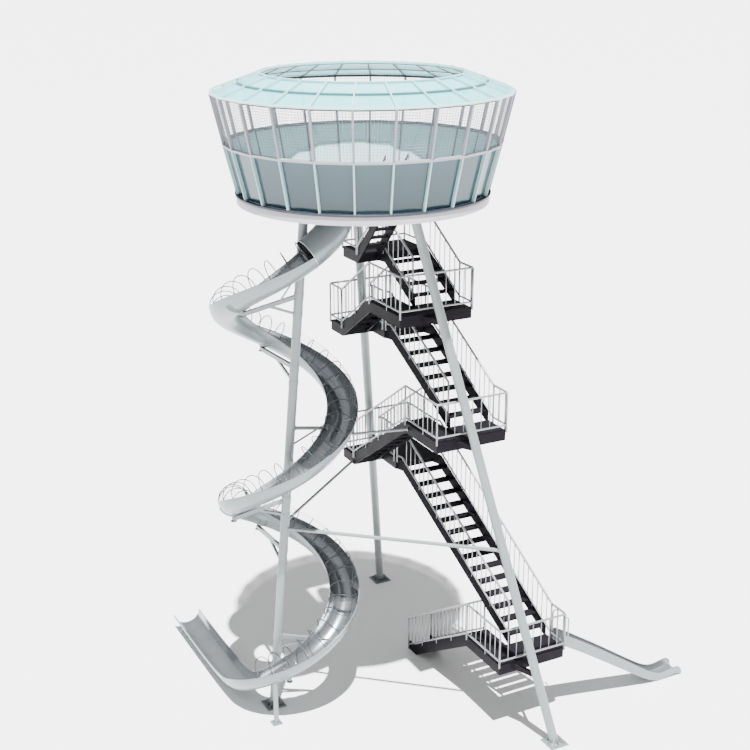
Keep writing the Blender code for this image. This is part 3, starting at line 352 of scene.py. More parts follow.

# %% [markdown]
# The lower wall is tinted glass that reads as a solid blue grey. Its tone is painted shade: paler
# under the middle rail and deeper towards the floor. Its inner face is painted pale, as painted
# light, and that is what shows through the mesh. The roof is a frosted aqua glass that lets part of
# the sun through. The tone comes from the height in Object coordinates, and the painted light on
# the inner face from whether a face looks towards the axis.

# %% Glass
GLASS_IOR, CLOUDS, CLOUD_SHARE = 1.45, 0.35, 0.18


def looks_inwards(tree, where, height):
    """A mask of the faces that look towards the pavilion's axis."""
    axis = add(tree, "ShaderNodeCombineXYZ", X=AXIS.x, Y=AXIS.y, Z=height)
    outward = add(tree, "ShaderNodeVectorMath", {"operation": "SUBTRACT"}, input_0=where,
                  input_1=axis.outputs[0])
    facing = tree.nodes.new("ShaderNodeNewGeometry").outputs["Normal"]
    share = add(tree, "ShaderNodeVectorMath", {"operation": "DOT_PRODUCT"}, input_0=outward.outputs[0],
                input_1=facing)
    return work_out(tree, "LESS_THAN", share.outputs["Value"], 0.0)


def make_glass(name, low, high, heights, rough, transmission=0.0, coat=0.0, lit_inner_face=None, alpha=1.0):
    """Tinted glass that changes tone between two heights, with optional painted light on the inner face."""
    material, tree, shader = finish(name, 0.0, coat, transmission, GLASS_IOR)
    where = object_point(tree)
    parts = add(tree, "ShaderNodeSeparateXYZ", Vector=where)
    height = add(tree, "ShaderNodeMapRange", Value=parts.outputs["Z"], From_Min=heights[0], From_Max=heights[1])
    cloud = add(tree, "ShaderNodeTexNoise", Vector=where, Scale=CLOUDS, Detail=2.0)
    drift = spread(tree, cloud.outputs["Fac"], -CLOUD_SHARE, CLOUD_SHARE)
    share = work_out(tree, "ADD", height.outputs[0], drift)
    colour = mix_tones(tree, share, (*low, 1), (*high, 1), clamp_factor=True)
    if lit_inner_face:
        colour = mix_tones(tree, looks_inwards(tree, where, parts.outputs["Z"]), colour, (*lit_inner_face, 1))
    tree.links.new(colour, shader.inputs["Base Color"])
    tree.links.new(spread(tree, cloud.outputs["Fac"], *rough), shader.inputs["Roughness"])
    shader.inputs["Alpha"].default_value = alpha
    return material


# The wall's lower, darker tone is painted shade, and lit_inner_face is painted light on its inside.
WALL_GLASS = make_glass("wall_glass", (0.015, 0.036, 0.048), (0.038, 0.078, 0.096), (16.4, 17.7), (0.10, 0.22),
                        transmission=0.04, coat=0.05, lit_inner_face=(0.55, 0.80, 0.83))
ROOF_GLASS = make_glass("roof_glass", (0.20, 0.72, 0.77), (0.26, 0.80, 0.85), (19.1, 19.6), (0.3, 0.45),
                        alpha=0.70)
print("glass made")

# %% [markdown]
# Pieces are finished in one place: each sits at the origin with its place in its mesh, rides on
# the tower, and hides the CAD nodes that it stands for.

# %% Piece helpers
SHARP_EDGE = math.radians(38)


def show(name, data):
    """An object in the scene, at the origin, for a mesh, a light or a camera."""
    item = bpy.data.objects.new(name, data)
    bpy.context.scene.collection.objects.link(item)
    return item


def mesh_piece(name, verts, faces, materials, uv=None, slots=None):
    """A mesh object from points and faces; faces are turned outwards."""
    mesh = bpy.data.meshes.new(name)
    mesh.from_pydata([tuple(v) for v in verts], [], faces)
    for material in materials:
        mesh.materials.append(material)
    if slots:
        mesh.polygons.foreach_set("material_index", slots)
    if uv:
        layer = mesh.uv_layers.new(name="sheet")
        for polygon in mesh.polygons:
            for loop, corner in zip(polygon.loop_indices, polygon.vertices):
                layer.data[loop].uv = uv[corner]
    bm = bmesh.new()
    bm.from_mesh(mesh)
    bmesh.ops.recalc_face_normals(bm, faces=bm.faces)
    bm.to_mesh(mesh)
    bm.free()
    mesh.shade_smooth()
    mesh.set_sharp_from_angle(angle=SHARP_EDGE)
    return show(name, mesh)


def place(piece, slot, *nodes):
    """Let a piece ride on the tower and hide the nodes that it replaces; the slot is not used."""
    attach(piece, "root")
    if nodes:
        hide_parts(*nodes)
    print(piece.name, len(piece.data.polygons), "faces")


def band(a, b, count):
    """Quads between two rings of points that start at a and at b."""
    return [(a + j, a + (j + 1) % count, b + (j + 1) % count, b + j) for j in range(count)]


def skin(rings, closed=False):
    """Points and quads that join equal rings; open runs get end faces."""
    count = len(rings[0])
    verts = [p for ring in rings for p in ring]
    faces = []
    for i in range(len(rings) if closed else len(rings) - 1):
        faces += band(i * count, (i + 1) % len(rings) * count, count)
    if not closed:
        faces += [tuple(range(count)), tuple(range(len(verts) - count, len(verts)))]
    return verts, faces


def merge_parts(parts):
    """One list of points and one of faces from several."""
    verts, faces = [], []
    for part_verts, part_faces in parts:
        start = len(verts)
        verts += part_verts
        faces += [tuple(start + i for i in face) for face in part_faces]
    return verts, faces


def box_bar(start, end, width, height, up=UPWARDS):
    """A straight bar of rectangular section."""
    run = (end - start).normalized()
    side = run.cross(up).normalized()
    over = side.cross(run)
    section = [side * (a * width / 2) + over * (b * height / 2) for a, b in CORNERS]
    return skin([[p + s for s in section] for p in (start, end)])


def circle(centre, run, radius, sides):
    """Points of a circle square to a direction."""
    side = run.orthogonal().normalized()
    over = run.cross(side)
    angles = (math.tau * i / sides for i in range(sides))
    return [centre + side * (radius * math.cos(a)) + over * (radius * math.sin(a)) for a in angles]


def round_bar(start, end, radius, sides=16):
    """A straight round bar."""
    run = (end - start).normalized()
    return skin([circle(p, run, radius, sides) for p in (start, end)])


# %% [markdown]
# Five node trees do the repeating work on this tower: rods, arcs, guard rails, equal turns and
# bolts. The first turns any lines into round rods. Its inputs are the radius, the number of
# sides and the radius of each bend.

# %% Rod tree
BEND_STEPS = 3


def geometry_tree(name, inputs):
    """An empty geometry tree with named inputs."""
    tree = bpy.data.node_groups.new(name, "GeometryNodeTree")
    name_inputs(tree, [("Geometry", "NodeSocketGeometry", None), *inputs])
    tree.interface.new_socket("Geometry", in_out="OUTPUT", socket_type="NodeSocketGeometry")
    return tree, tree.nodes.new("NodeGroupInput"), tree.nodes.new("NodeGroupOutput")


def close_tree(tree, sink, geometry, source):
    """Every tree ends alike: real geometry, smooth, with its material."""
    real = add(tree, "GeometryNodeRealizeInstances", Geometry=geometry)
    smooth = add(tree, "GeometryNodeSetShadeSmooth", Geometry=real.outputs[0])
    painted = add(tree, "GeometryNodeSetMaterial", Geometry=smooth.outputs[0],
                  Material=source.outputs["Material"])
    tree.links.new(painted.outputs[0], sink.inputs[0])


def round_rod(tree, curve, radius, sides):
    """A round rod on a curve, with closed ends."""
    ring = add(tree, "GeometryNodeCurvePrimitiveCircle", Resolution=sides, Radius=radius)
    return add(tree, "GeometryNodeCurveToMesh", Curve=curve, Profile_Curve=ring.outputs[0],
               Fill_Caps=True).outputs[0]


def bent_line(tree, lines, bend):
    """Edges as a curve whose corners are rounded."""
    curve = add(tree, "GeometryNodeMeshToCurve", Mesh=lines)
    return add(tree, "GeometryNodeFilletCurve", {"mode": "POLY"}, Curve=curve.outputs[0], Radius=bend,
               Count=BEND_STEPS, Limit_Radius=True).outputs[0]


def up_by(tree, height):
    """A vector that points upwards by a height."""
    return add(tree, "ShaderNodeCombineXYZ", Z=height).outputs[0]


def make_rod_tree():
    """Lines in, round rods out."""
    tree, source, sink = geometry_tree("rods_on_lines", [
        ("Radius", "NodeSocketFloat", 0.02),
        ("Sides", "NodeSocketInt", 8),
        ("Bend", "NodeSocketFloat", 0.0),
        ("Material", "NodeSocketMaterial", None),
    ])
    bent = bent_line(tree, source.outputs["Geometry"], source.outputs["Bend"])
    rod = round_rod(tree, bent, source.outputs["Radius"], source.outputs["Sides"])
    close_tree(tree, sink, rod, source)
    return tree


ROD_TREE = make_rod_tree()


def lines_object(name, lines, closed=False):
    """A mesh of edges only, one run of points per line."""
    verts, edges = [], []
    for line in lines:
        start = len(verts)
        verts += [tuple(p) for p in line]
        edges += [(start + i, start + i + 1) for i in range(len(line) - 1)]
        if closed:
            edges.append((start + len(line) - 1, start))
    mesh = bpy.data.meshes.new(name)
    mesh.from_pydata(verts, edges, [])
    return show(name, mesh)


def grow(item, tree, **values):
    """Run a geometry tree on an object and keep the result as a plain mesh."""
    step = item.modifiers.new("grow", "NODES")
    step.node_group = tree
    for socket in tree.interface.items_tree:
        name = socket.name.replace(" ", "_")
        if socket.in_out == "INPUT" and name in values:
            step[socket.identifier] = values[name]
    bpy.context.view_layer.update()
    seen = item.evaluated_get(bpy.context.evaluated_depsgraph_get())
    mesh = bpy.data.meshes.new_from_object(seen)
    item.modifiers.remove(step)
    item.data = mesh
    mesh.name = item.name
    return item


def rods(name, lines, radius, material, sides=8, bend=0.0, closed=False):
    """Round rods along lines."""
    return grow(lines_object(name, lines, closed), ROD_TREE, Radius=radius, Sides=sides, Bend=bend,
                Material=material)


print("rod tree ready")

# %% [markdown]
# The slide is a half round trough carried down a helix. At any turn its centre, its outward
# direction and its upward direction follow from the radius and the fall per turn. The top is a
# closed tube, and the bottom runs out straight and grows shallow, so riders slow down. Turns are
# in degrees, and they grow as the slide climbs.

# %% The slide's line
HELIX_CENTRE = at(-1.736, 1.735)
HELIX_R, PITCH = 1.688, 6.11
HELIX_Z, HELIX_TURN = 12.71, 153.37
SECTION_R, SHEET = 0.457, 0.012
TUBE_END, TROUGH_END, TUBE_TOP = 271.4, -540.6, 385.0
FLOOR_UNDER = 16.10
TURN_STEP, RUN_STEPS = 4.0, 36
RUN_L, RUN_FALL, RUN_EASE, RUN_SHALLOW = 5.4, 0.43, 0.745, 0.82


def helix_frame(turn):
    """Centre, outward and upward directions of the section at a turn in degrees."""
    a = math.radians(turn)
    out = Vector((math.cos(a), math.sin(a), 0))
    climb = Vector((-math.sin(a) * HELIX_R, math.cos(a) * HELIX_R, PITCH / math.tau))
    centre = HELIX_CENTRE + out * HELIX_R + Vector((0, 0, HELIX_Z + PITCH * (turn - HELIX_TURN) / 360))
    return centre, out, out.cross(climb).normalized()


def run_frame(s):
    """The same at a distance along the straight end, with its depth as a share."""
    start = helix_frame(TROUGH_END)[0]
    sink = RUN_FALL * (1.0 - math.exp(-s / RUN_EASE))
    upward = Vector((0, RUN_FALL * math.exp(-s / RUN_EASE) / RUN_EASE, 1)).normalized()
    return start + Vector((0, s, -sink)), Vector((-1, 0, 0)), upward, 1.0 - (1.0 - RUN_SHALLOW) * s / RUN_L


def slide_point(turn, across, lift=0.0, radius=SECTION_R):
    """A point round the section: across is an angle in degrees, 0 outwards and 90 upwards."""
    centre, out, up = helix_frame(turn)
    a = math.radians(across)
    return centre + out * (radius * math.cos(a)) + up * (radius * math.sin(a) + lift)


print("slide: %.2f m wide, falls %.2f m in a turn" % (2 * SECTION_R, PITCH))


# %% Trough and run-out as one sheet
ARC_STEPS, LIP_STEPS = 22, 5
LIP_R, LIP_OUT, LIP_UP, LIP_CURL = 0.0144, 0.004, 0.012, math.pi * 1.25
SHEET_ROUND = 0.065


def trough_section(depth=1.0):
    """Half round sheet with rolled lips, as (outward, upward, inside) rows."""
    bowl = [math.pi + math.pi * i / ARC_STEPS for i in range(ARC_STEPS + 1)]
    curl = [-math.pi / 2 + LIP_CURL * i / LIP_STEPS for i in range(1, LIP_STEPS + 1)]
    lip = [(SECTION_R + LIP_OUT + LIP_R * math.cos(a), LIP_UP + LIP_R * math.sin(a)) for a in curl]
    inner_r = SECTION_R - SHEET
    outside = [(SECTION_R * math.cos(a), SECTION_R * depth * math.sin(a), False) for a in bowl]
    inside = [(inner_r * math.cos(a), inner_r * depth * math.sin(a), True) for a in reversed(bowl)]
    return (outside + [(u, v, False) for u, v in lip] + inside
            + [(-u, v, False) for u, v in reversed(lip)])


def make_trough():
    """The open part of the slide, from the tube's mouth to the ground."""
    steps = round((TUBE_END - TROUGH_END) / TURN_STEP)
    turns = [TUBE_END + (TROUGH_END - TUBE_END) * i / steps for i in range(steps + 1)]
    stations = [(*helix_frame(turn), 1.0) for turn in turns]
    stations += [run_frame(RUN_L * i / RUN_STEPS) for i in range(1, RUN_STEPS + 1)]
    rings, uv = [], []
    length, before = 0.0, stations[0][0]
    for centre, out, up, depth in stations:
        length += (centre - before).length
        before = centre
        section = trough_section(depth)
        rings.append([centre + out * u + up * v for u, v, _ in section])
        uv += [(length, i * SHEET_ROUND) for i in range(len(section))]
    verts, faces = skin(rings)
    inner = [inside for _, _, inside in trough_section()]
    slots = [int(inner[i % len(inner)] and inner[(i + 1) % len(inner)]) for i in range(len(faces) - 2)]
    print("trough length %.1f m" % length)
    return mesh_piece("trough", verts, faces, [SATIN, RUNNING], uv=uv, slots=slots + [0, 0])


place(make_trough(), "stainless", "slide_trough_1", "slide_trough_2", "slide_trough_3",
      "slide_runout_1", "slide_runout_2", "slide_runout_3")

# %% [markdown]
# The tube at the top has a thin wall, so it is two skins joined at the mouth. It is cut level
# under the pavilion's floor. A bright rolled rim closes the sheet's edge at the mouth.

# %% Closed tube
TUBE_SIDES, TUBE_STEPS = 36, 24
TUBE_ROUND, SLOPE_STRETCH = 0.08, 1.15
RIM_R, RIM_IN = 0.016, 0.002


def make_tube():
    """A tube with a real wall, cut level at the floor."""
    length = HELIX_R * math.radians(TUBE_TOP - TUBE_END) * SLOPE_STRETCH
    verts, uv, faces = [], [], []
    for radius in (SECTION_R, SECTION_R - SHEET):
        for i in range(TUBE_STEPS + 1):
            turn = TUBE_END + (TUBE_TOP - TUBE_END) * i / TUBE_STEPS
            verts += [slide_point(turn, 360.0 * j / TUBE_SIDES, 0.0, radius) for j in range(TUBE_SIDES)]
            uv += [(length * i / TUBE_STEPS, j * TUBE_ROUND) for j in range(TUBE_SIDES)]
    inner = (TUBE_STEPS + 1) * TUBE_SIDES
    for start in (0, inner):
        for i in range(TUBE_STEPS):
            faces += band(start + i * TUBE_SIDES, start + (i + 1) * TUBE_SIDES, TUBE_SIDES)
    for i in (0, TUBE_STEPS):
        faces += band(i * TUBE_SIDES, inner + i * TUBE_SIDES, TUBE_SIDES)
    wall = TUBE_STEPS * TUBE_SIDES
    slots = [0] * wall + [1] * wall + [0] * (2 * TUBE_SIDES)
    piece = mesh_piece("closed_tube", verts, faces, [SATIN, RUNNING], uv=uv, slots=slots)
    cut_above(piece, FLOOR_UNDER - GAP)
    return piece


def cut_above(piece, height):
    """Remove what lies above a height and close the cut between both skins."""
    bm = bmesh.new()
    bm.from_mesh(piece.data)
    whole = bm.verts[:] + bm.edges[:] + bm.faces[:]
    cut = bmesh.ops.bisect_plane(bm, geom=whole, dist=1e-5, plane_co=(0, 0, height), plane_no=UPWARDS,
                                 clear_outer=True)
    rim = [e for e in cut["geom_cut"] if isinstance(e, bmesh.types.BMEdge) and e.is_boundary]
    bmesh.ops.bridge_loops(bm, edges=rim)
    bmesh.ops.recalc_face_normals(bm, faces=bm.faces)
    bm.to_mesh(piece.data)
    bm.free()


place(make_tube(), "stainless", "slide_tube_top")
mouth = [slide_point(TUBE_END, a, 0.0, SECTION_R - RIM_IN) for a in range(0, 360, 10)]
place(rods("tube_mouth_rim", [mouth], RIM_R, BRIGHT, closed=True), "stainless")

# %% [markdown]
# Half hoops stand over the trough every half metre, so nobody falls out in the bends. The
# second tree resamples the slide's line and sets an arc square to it at each point. The arc's
# own Y is held upwards, and its angles then say whether it stands over the line or hangs below
# it. So the same tree makes the seams inside the sheet.

# %% Hoop tree
def make_hoop_tree():
    """Arcs square to a line: inputs give spacing, arc radius, rod radius and the arc's angles."""
    tree, source, sink = geometry_tree("arcs_square_to_line", [
        ("Spacing", "NodeSocketFloat", 0.4),
        ("Arc Radius", "NodeSocketFloat", 0.46),
        ("Rod Radius", "NodeSocketFloat", 0.012),
        ("Start", "NodeSocketFloat", 0.0),
        ("Sweep", "NodeSocketFloat", math.pi),
        ("Steps", "NodeSocketInt", 16),
        ("Sides", "NodeSocketInt", 6),
        ("Lift", "NodeSocketFloat", 0.02),
        ("Material", "NodeSocketMaterial", None),
    ])
    line = add(tree, "GeometryNodeMeshToCurve", Mesh=source.outputs["Geometry"])
    spaced = add(tree, "GeometryNodeResampleCurve", {"mode": "LENGTH"}, Curve=line.outputs[0],
                 Length=source.outputs["Spacing"])
    ahead = tree.nodes.new("GeometryNodeInputTangent").outputs[0]
    turned = add(tree, "FunctionNodeAxesToRotation", {"primary_axis": "Z", "secondary_axis": "Y"},
                 Primary_Axis=ahead, Secondary_Axis=UPWARDS)
    arc = add(tree, "GeometryNodeCurveArc", {"mode": "RADIUS"}, Resolution=source.outputs["Steps"],
              Radius=source.outputs["Arc Radius"], Start_Angle=source.outputs["Start"],
              Sweep_Angle=source.outputs["Sweep"])
    rod = round_rod(tree, arc.outputs[0], source.outputs["Rod Radius"], source.outputs["Sides"])
    raised = add(tree, "ShaderNodeCombineXYZ", Y=source.outputs["Lift"])
    lifted = add(tree, "GeometryNodeTransform", Geometry=rod, Translation=raised.outputs[0])
    arcs = add(tree, "GeometryNodeInstanceOnPoints", Points=spaced.outputs[0], Instance=lifted.outputs[0],
               Rotation=turned.outputs[0])
    close_tree(tree, sink, arcs.outputs[0], source)
    return tree


HOOP_TREE = make_hoop_tree()


def slide_line(first, last, step=3.0):
    """The section's centre line from a high turn to a low one, so an arc's own X points outwards."""
    count = max(2, round(abs(first - last) / step))
    return [helix_frame(first + (last - first) * i / count)[0] for i in range(count + 1)]


def arcs(name, line, material, **values):
    """Arcs along one line."""
    return grow(lines_object(name, [line]), HOOP_TREE, Material=material, **values)


HOOP_TOP, HOOP_LOW = 268.0, -504.0
HOOP_SPACING, HOOP_ROD, HOOP_LIFT = 0.5, 0.014, 0.015
HOOP_R = SECTION_R - 0.004
# The hoops carry a near-black finish, which is painted shade on stainless.
hoops = arcs("guard_hoops", slide_line(HOOP_TOP, HOOP_LOW), HOOP_PAINTED_SHADE, Spacing=HOOP_SPACING,
             Arc_Radius=HOOP_R, Rod_Radius=HOOP_ROD, Lift=HOOP_LIFT)
place(hoops, "stainless", "slide_cage_1", "slide_cage_2", "slide_cage_3")

# %% [markdown]
# Behind the bends a low fringe of fine wire stands on the outer lip, between the feet of the
# hoops. Wires run along the slide at equal angles, and short arcs cross them.

# %% Wire between the hoops
WIRED = ((150.0, -30.0), (-210.0, -390.0))
WIRE_R, WIRE_STEPS, CROSS_SPACING, CROSS_SWEEP = 0.0022, 60, 0.12, math.radians(50)


def wire_along(first, last, across):
    """One wire on the outer lip, from a high turn to a low one."""
    turns = [first + (last - first) * i / WIRE_STEPS for i in range(WIRE_STEPS + 1)]
    return [slide_point(turn, across, HOOP_LIFT, HOOP_R) for turn in turns]


runs = [wire_along(first, last, across) for first, last in WIRED for across in range(12, 58, 9)]
place(rods("guard_wires_along", runs, WIRE_R, WIRE, sides=4), "stainless")
for number, (first, last) in enumerate(WIRED, 1):
    cross = arcs("guard_wires_across_%d" % number, slide_line(first, last), WIRE, Spacing=CROSS_SPACING,
                 Arc_Radius=HOOP_R, Rod_Radius=WIRE_R, Lift=HOOP_LIFT, Sweep=CROSS_SWEEP, Steps=6, Sides=4)
    place(cross, "stainless")

# %% [markdown]
# The trough is welded from short lengths. Outside, the welds are ground flush. Inside, each joint
# shows as a fine bright seam.

# %% Seams
JOINT, SEAM_R, SEAM_INSET = 0.50, 0.0055, 6.0
seams = arcs("slide_seams", slide_line(TUBE_END - SEAM_INSET, TROUGH_END + SEAM_INSET), BRIGHT, Spacing=JOINT,
             Arc_Radius=SECTION_R - SHEET - 0.001, Rod_Radius=SEAM_R, Start=math.pi, Sweep=math.pi,
             Steps=20, Sides=4, Lift=0.0)
place(seams, "stainless")

# %% [markdown]
# The stair has three main landings at the front and half landings at the back. A rail follows
# the edge that it guards: level over a landing, sloping over a flight. So each rail needs only
# the line of its feet, and that line needs the same few levels that set out the stair.

# %% Stair levels
LOW, MID, HIGH = at(2.777, -3.402, 2.345), at(1.230, -2.166, 9.342), at(0.424, -1.432, 12.990)
LAND_W, LAND_L, NOTCH, LANE_W, RIGHT_X = 2.305, 1.873, 0.95, 0.84, 0.95
RIGHT_W, TOP_X = LAND_W - RIGHT_X, 0.694
HALF_MID, HALF_HIGH = MID + Vector((0, 5.34, 7.02 - MID.z)), HIGH + Vector((0, 3.71, 11.76 - HIGH.z))
HALF_TOP = at(0.33, 1.028, 14.33)
HALF_DEEP, TOP_DEEP, WELL_W = 0.80, 0.95, 1.02
WELL_MID, WELL_HIGH, WELL_END, KINK, OUT = 0.95, 0.80, 0.38, 0.23, 0.015
BESIDE_WELL = WELL_W + 0.05
LAST_W, LAST_START, LAST_SHORT = 0.67, 0.45, 0.05
GROUND_FOOT = LOW + Vector((0, 5.60, -LOW.z))
LAST_HEAD = at(0.33, -0.86, 16.32)


class Flight:
    """The line of a flight between two decks."""

    def __init__(self, low, high, width, kink=0.0):
        self.low, self.high, self.width, self.kink = low, high, width, kink
        self.run = abs(high.y - low.y)
        self.slope = (high.z - low.z) / self.run

    def foot(self, across, along):
        """A rail's foot, level over either deck."""
        share = along / self.run
        rise = min(self.high.z - self.low.z, max(0.0, self.slope * (along + self.kink)))
        x = self.low.x + (self.high.x - self.low.x) * share + across
        return Vector((x, self.low.y + (self.high.y - self.low.y) * share, self.low.z + rise))


def up_flight(corner, head):
    """A wide flight up the right side, from a main landing to a half landing."""
    return Flight(corner + Vector((RIGHT_X, NOTCH, 0)), head, RIGHT_W, KINK)


UP_LOW = up_flight(LOW, HALF_MID + Vector((BESIDE_WELL, -WELL_MID, 0)))
UP_MID = up_flight(MID, HALF_HIGH + Vector((BESIDE_WELL, -WELL_HIGH, 0)))
UP_HIGH = up_flight(HIGH, HALF_TOP + Vector((TOP_X, 0, 0)))
LANE_GROUND = Flight(GROUND_FOOT, LOW + Vector((0, LAND_L, 0)), LANE_W)
LANE_MID = Flight(HALF_MID, MID + Vector((0, LAND_L, 0)), LANE_W)
LANE_HIGH = Flight(HALF_HIGH, HIGH + Vector((0, LAND_L, 0)), LANE_W)
LAST = Flight(HALF_TOP, LAST_HEAD, LAST_W)
flights = (UP_LOW, UP_MID, UP_HIGH, LANE_GROUND, LANE_MID, LANE_HIGH, LAST)
print("slopes of the flights:", [round(flight.slope, 2) for flight in flights])

# %% [markdown]
# A guard rail is a handrail, a bottom rail, round bars every 0.26 m and a stout post where
# the line turns. The railing tree does all of it from the foot line. Bars stand on the line after
# it is split at its corners, so they are even in each straight. Every fourth bar reaches the
# deck. Last, nothing is let below the ground.

# %% Railing tree
BAR_SIDES, BOTTOM_SHARE, GROUND_CLEAR = 8, 0.82, 0.002


def make_railing_tree():
    """A guard rail over a foot line."""
    tree, source, sink = geometry_tree("guard_rail", [
        ("Height", "NodeSocketFloat", 1.0),
        ("Foot Gap", "NodeSocketFloat", 0.16),
        ("Rail Radius", "NodeSocketFloat", 0.034),
        ("Bar Radius", "NodeSocketFloat", 0.0145),
        ("Bar Spacing", "NodeSocketFloat", 0.26),
        ("Post Radius", "NodeSocketFloat", 0.028),
        ("Post Every", "NodeSocketInt", 4),
        ("Grip", "NodeSocketFloat", 0.07),
        ("Bend", "NodeSocketFloat", 0.08),
        ("Material", "NodeSocketMaterial", None),
    ])
    geometry = source.outputs["Geometry"]
    height, gap, grip = (source.outputs[n] for n in ("Height", "Foot Gap", "Grip"))
    top = work_out(tree, "ADD", height, gap)

    def rail(lift, radius):
        moved = add(tree, "GeometryNodeSetPosition", Geometry=geometry, Offset=up_by(tree, lift))
        return round_rod(tree, bent_line(tree, moved.outputs[0], source.outputs["Bend"]), radius, BAR_SIDES)

    def upright(radius, bottom, reach):
        bar = add(tree, "GeometryNodeMeshCylinder", Vertices=BAR_SIDES, Radius=radius, Depth=reach)
        middle = work_out(tree, "ADD", bottom, work_out(tree, "MULTIPLY", reach, 0.5))
        return add(tree, "GeometryNodeTransform", Geometry=bar.outputs[0],
                   Translation=up_by(tree, middle)).outputs[0]

    def choose(operation, *masks):
        inputs = {"input_%d" % i: mask for i, mask in enumerate(masks)}
        return add(tree, "FunctionNodeBooleanMath", {"operation": operation}, **inputs).outputs[0]

    parts = add(tree, "GeometryNodeSplitEdges", Mesh=geometry)
    straights = add(tree, "GeometryNodeMeshToCurve", Mesh=parts.outputs[0])
    spaced = add(tree, "GeometryNodeResampleCurve", {"mode": "LENGTH"}, Curve=straights.outputs[0],
                 Length=source.outputs["Bar Spacing"])
    ends = add(tree, "GeometryNodeCurveEndpointSelection", Start_Size=1, End_Size=1).outputs[0]
    inside = choose("NOT", ends)
    place_in_line = tree.nodes.new("GeometryNodeSplineParameter").outputs["Index"]
    beat = work_out(tree, "MODULO", place_in_line, source.outputs["Post Every"])
    on_beat = work_out(tree, "LESS_THAN", beat, 0.5)
    bar = upright(source.outputs["Bar Radius"], gap, height)
    standing = upright(source.outputs["Bar Radius"], 0.0, top)
    below = work_out(tree, "MULTIPLY", grip, -1.0)
    post = upright(source.outputs["Post Radius"], below, work_out(tree, "ADD", top, grip))
    chosen = add(tree, "GeometryNodeInputNamedAttribute", {"data_type": "BOOLEAN"}, Name="post")
    marked = next(s for s in chosen.outputs if s.enabled)
    rail_radius = source.outputs["Rail Radius"]
    thinner = work_out(tree, "MULTIPLY", rail_radius, BOTTOM_SHARE)
    joined = tree.nodes.new("GeometryNodeJoinGeometry")
    for part in (rail(top, rail_radius), rail(gap, thinner)):
        tree.links.new(part, joined.inputs[0])
    for points, item, selection in ((spaced.outputs[0], bar, choose("NIMPLY", inside, on_beat)),
                                    (spaced.outputs[0], standing, choose("AND", inside, on_beat)),
                                    (geometry, post, marked)):
        set_out = add(tree, "GeometryNodeInstanceOnPoints", Points=points, Instance=item, Selection=selection)
        tree.links.new(set_out.outputs[0], joined.inputs[0])
    real = add(tree, "GeometryNodeRealizeInstances", Geometry=joined.outputs[0])
    where = tree.nodes.new("GeometryNodeInputPosition").outputs[0]
    held = add(tree, "ShaderNodeVectorMath", {"operation": "MAXIMUM"}, input_0=where,
               input_1=(-99.0, -99.0, GROUND_CLEAR))
    clipped = add(tree, "GeometryNodeSetPosition", Geometry=real.outputs[0], Position=held.outputs[0])
    close_tree(tree, sink, clipped.outputs[0], source)
    return tree


RAILING_TREE = make_railing_tree()


def railing(name, line, node, skip=()):
    """A guard rail that replaces a CAD rail; points in skip get no post."""
    item = lines_object(name, [line])
    marks = item.data.attributes.new("post", "BOOLEAN", "POINT")
    for i in range(len(line)):
        marks.data[i].value = i not in skip
    place(grow(item, RAILING_TREE, Material=GALVANISED), "galvanised", node)


# %% [markdown]
# Each level has four rails: round the outside of the lane and the landing's front, up the right
# side and round the half landing's back, up the flight's left side, and down the inner side
# of the lane.

# %% Guard rails
RETURN, START, WELL_SHORT = 0.06, 0.03, 0.10


def outer_line(lane, corner):
    """Up a lane's left side, then round the front of its landing."""
    left, right, front = corner.x - OUT, corner.x + LAND_W + OUT, corner.y - OUT
    return [lane.foot(-OUT, 0.0), lane.foot(-OUT, lane.run), Vector((left, front, corner.z)),
            Vector((right, front, corner.z)), Vector((right, front + RETURN, corner.z))]


def rise_line(flight, corner, half, deep, right, end):
    """Up a flight's right side, then round the back of its half landing."""
    side = flight.width + OUT
    start, back = corner.x + LAND_W + OUT, half.y + deep + OUT
    head = flight.foot(side, flight.run)
    head.x = right
    return [Vector((start, corner.y + RETURN, corner.z)), Vector((start, corner.y + NOTCH - KINK, corner.z)),
            flight.foot(side, flight.run - KINK), head, Vector((right, back, half.z)),
            Vector((half.x - OUT, back, half.z)), end]


def inner_line(flight, short):
    """Up a flight's left side."""
    return [flight.foot(-OUT, s) for s in (START, flight.run - KINK, flight.run - short)]


def well_line(lane, well):
    """Beside a half landing's cut, then down the inner side of a lane."""
    side = LANE_W + OUT
    line = [lane.foot(side, 0.0), lane.foot(side, lane.run - WELL_END)]
    if well:
        x, y = lane.low.x + WELL_W - OUT, lane.low.y - OUT
        line[0] = lane.foot(side, OUT)
        line = [Vector((x, y - well + WELL_SHORT, lane.low.z)), Vector((x, y, lane.low.z))] + line
    return line


BUTT = Vector((-OUT, START, 0))
LEVELS = {
    "low": (LANE_GROUND, UP_LOW, LOW, HALF_MID, HALF_DEEP, BESIDE_WELL, OUT, 0.0),
    "mid": (LANE_MID, UP_MID, MID, HALF_HIGH, HALF_DEEP, BESIDE_WELL, OUT, WELL_MID),
    "high": (LANE_HIGH, UP_HIGH, HIGH, HALF_TOP, TOP_DEEP, TOP_X, 0.20, WELL_HIGH),
}
lines = {}
for level, (lane, flight, corner, half, deep, beside, short, well) in LEVELS.items():
    right = half.x + (beside + RIGHT_W + OUT)
    lines["outer", level] = outer_line(lane, corner), (4,)
    lines["rise", level] = rise_line(flight, corner, half, deep, right, half + BUTT), (2,)
    lines["inner", level] = inner_line(flight, short), (1,)
    lines["well", level] = well_line(lane, well), (2,) if well else ()
for kind in ("outer", "rise", "inner", "well"):
    for level in LEVELS:
        line, skip = lines[kind, level]
        railing("guard_%s_%s" % (kind, level), line, "rail_%s_%s" % (kind, level), skip)
last_end = LAST.run - LAST_SHORT
railing("guard_last_left", [LAST.foot(-OUT, s) for s in (0.02, last_end)], "rail_last_left")
railing("guard_last_right", [LAST.foot(LAST_W + OUT, s) for s in (LAST_START, last_end)], "rail_last_right")

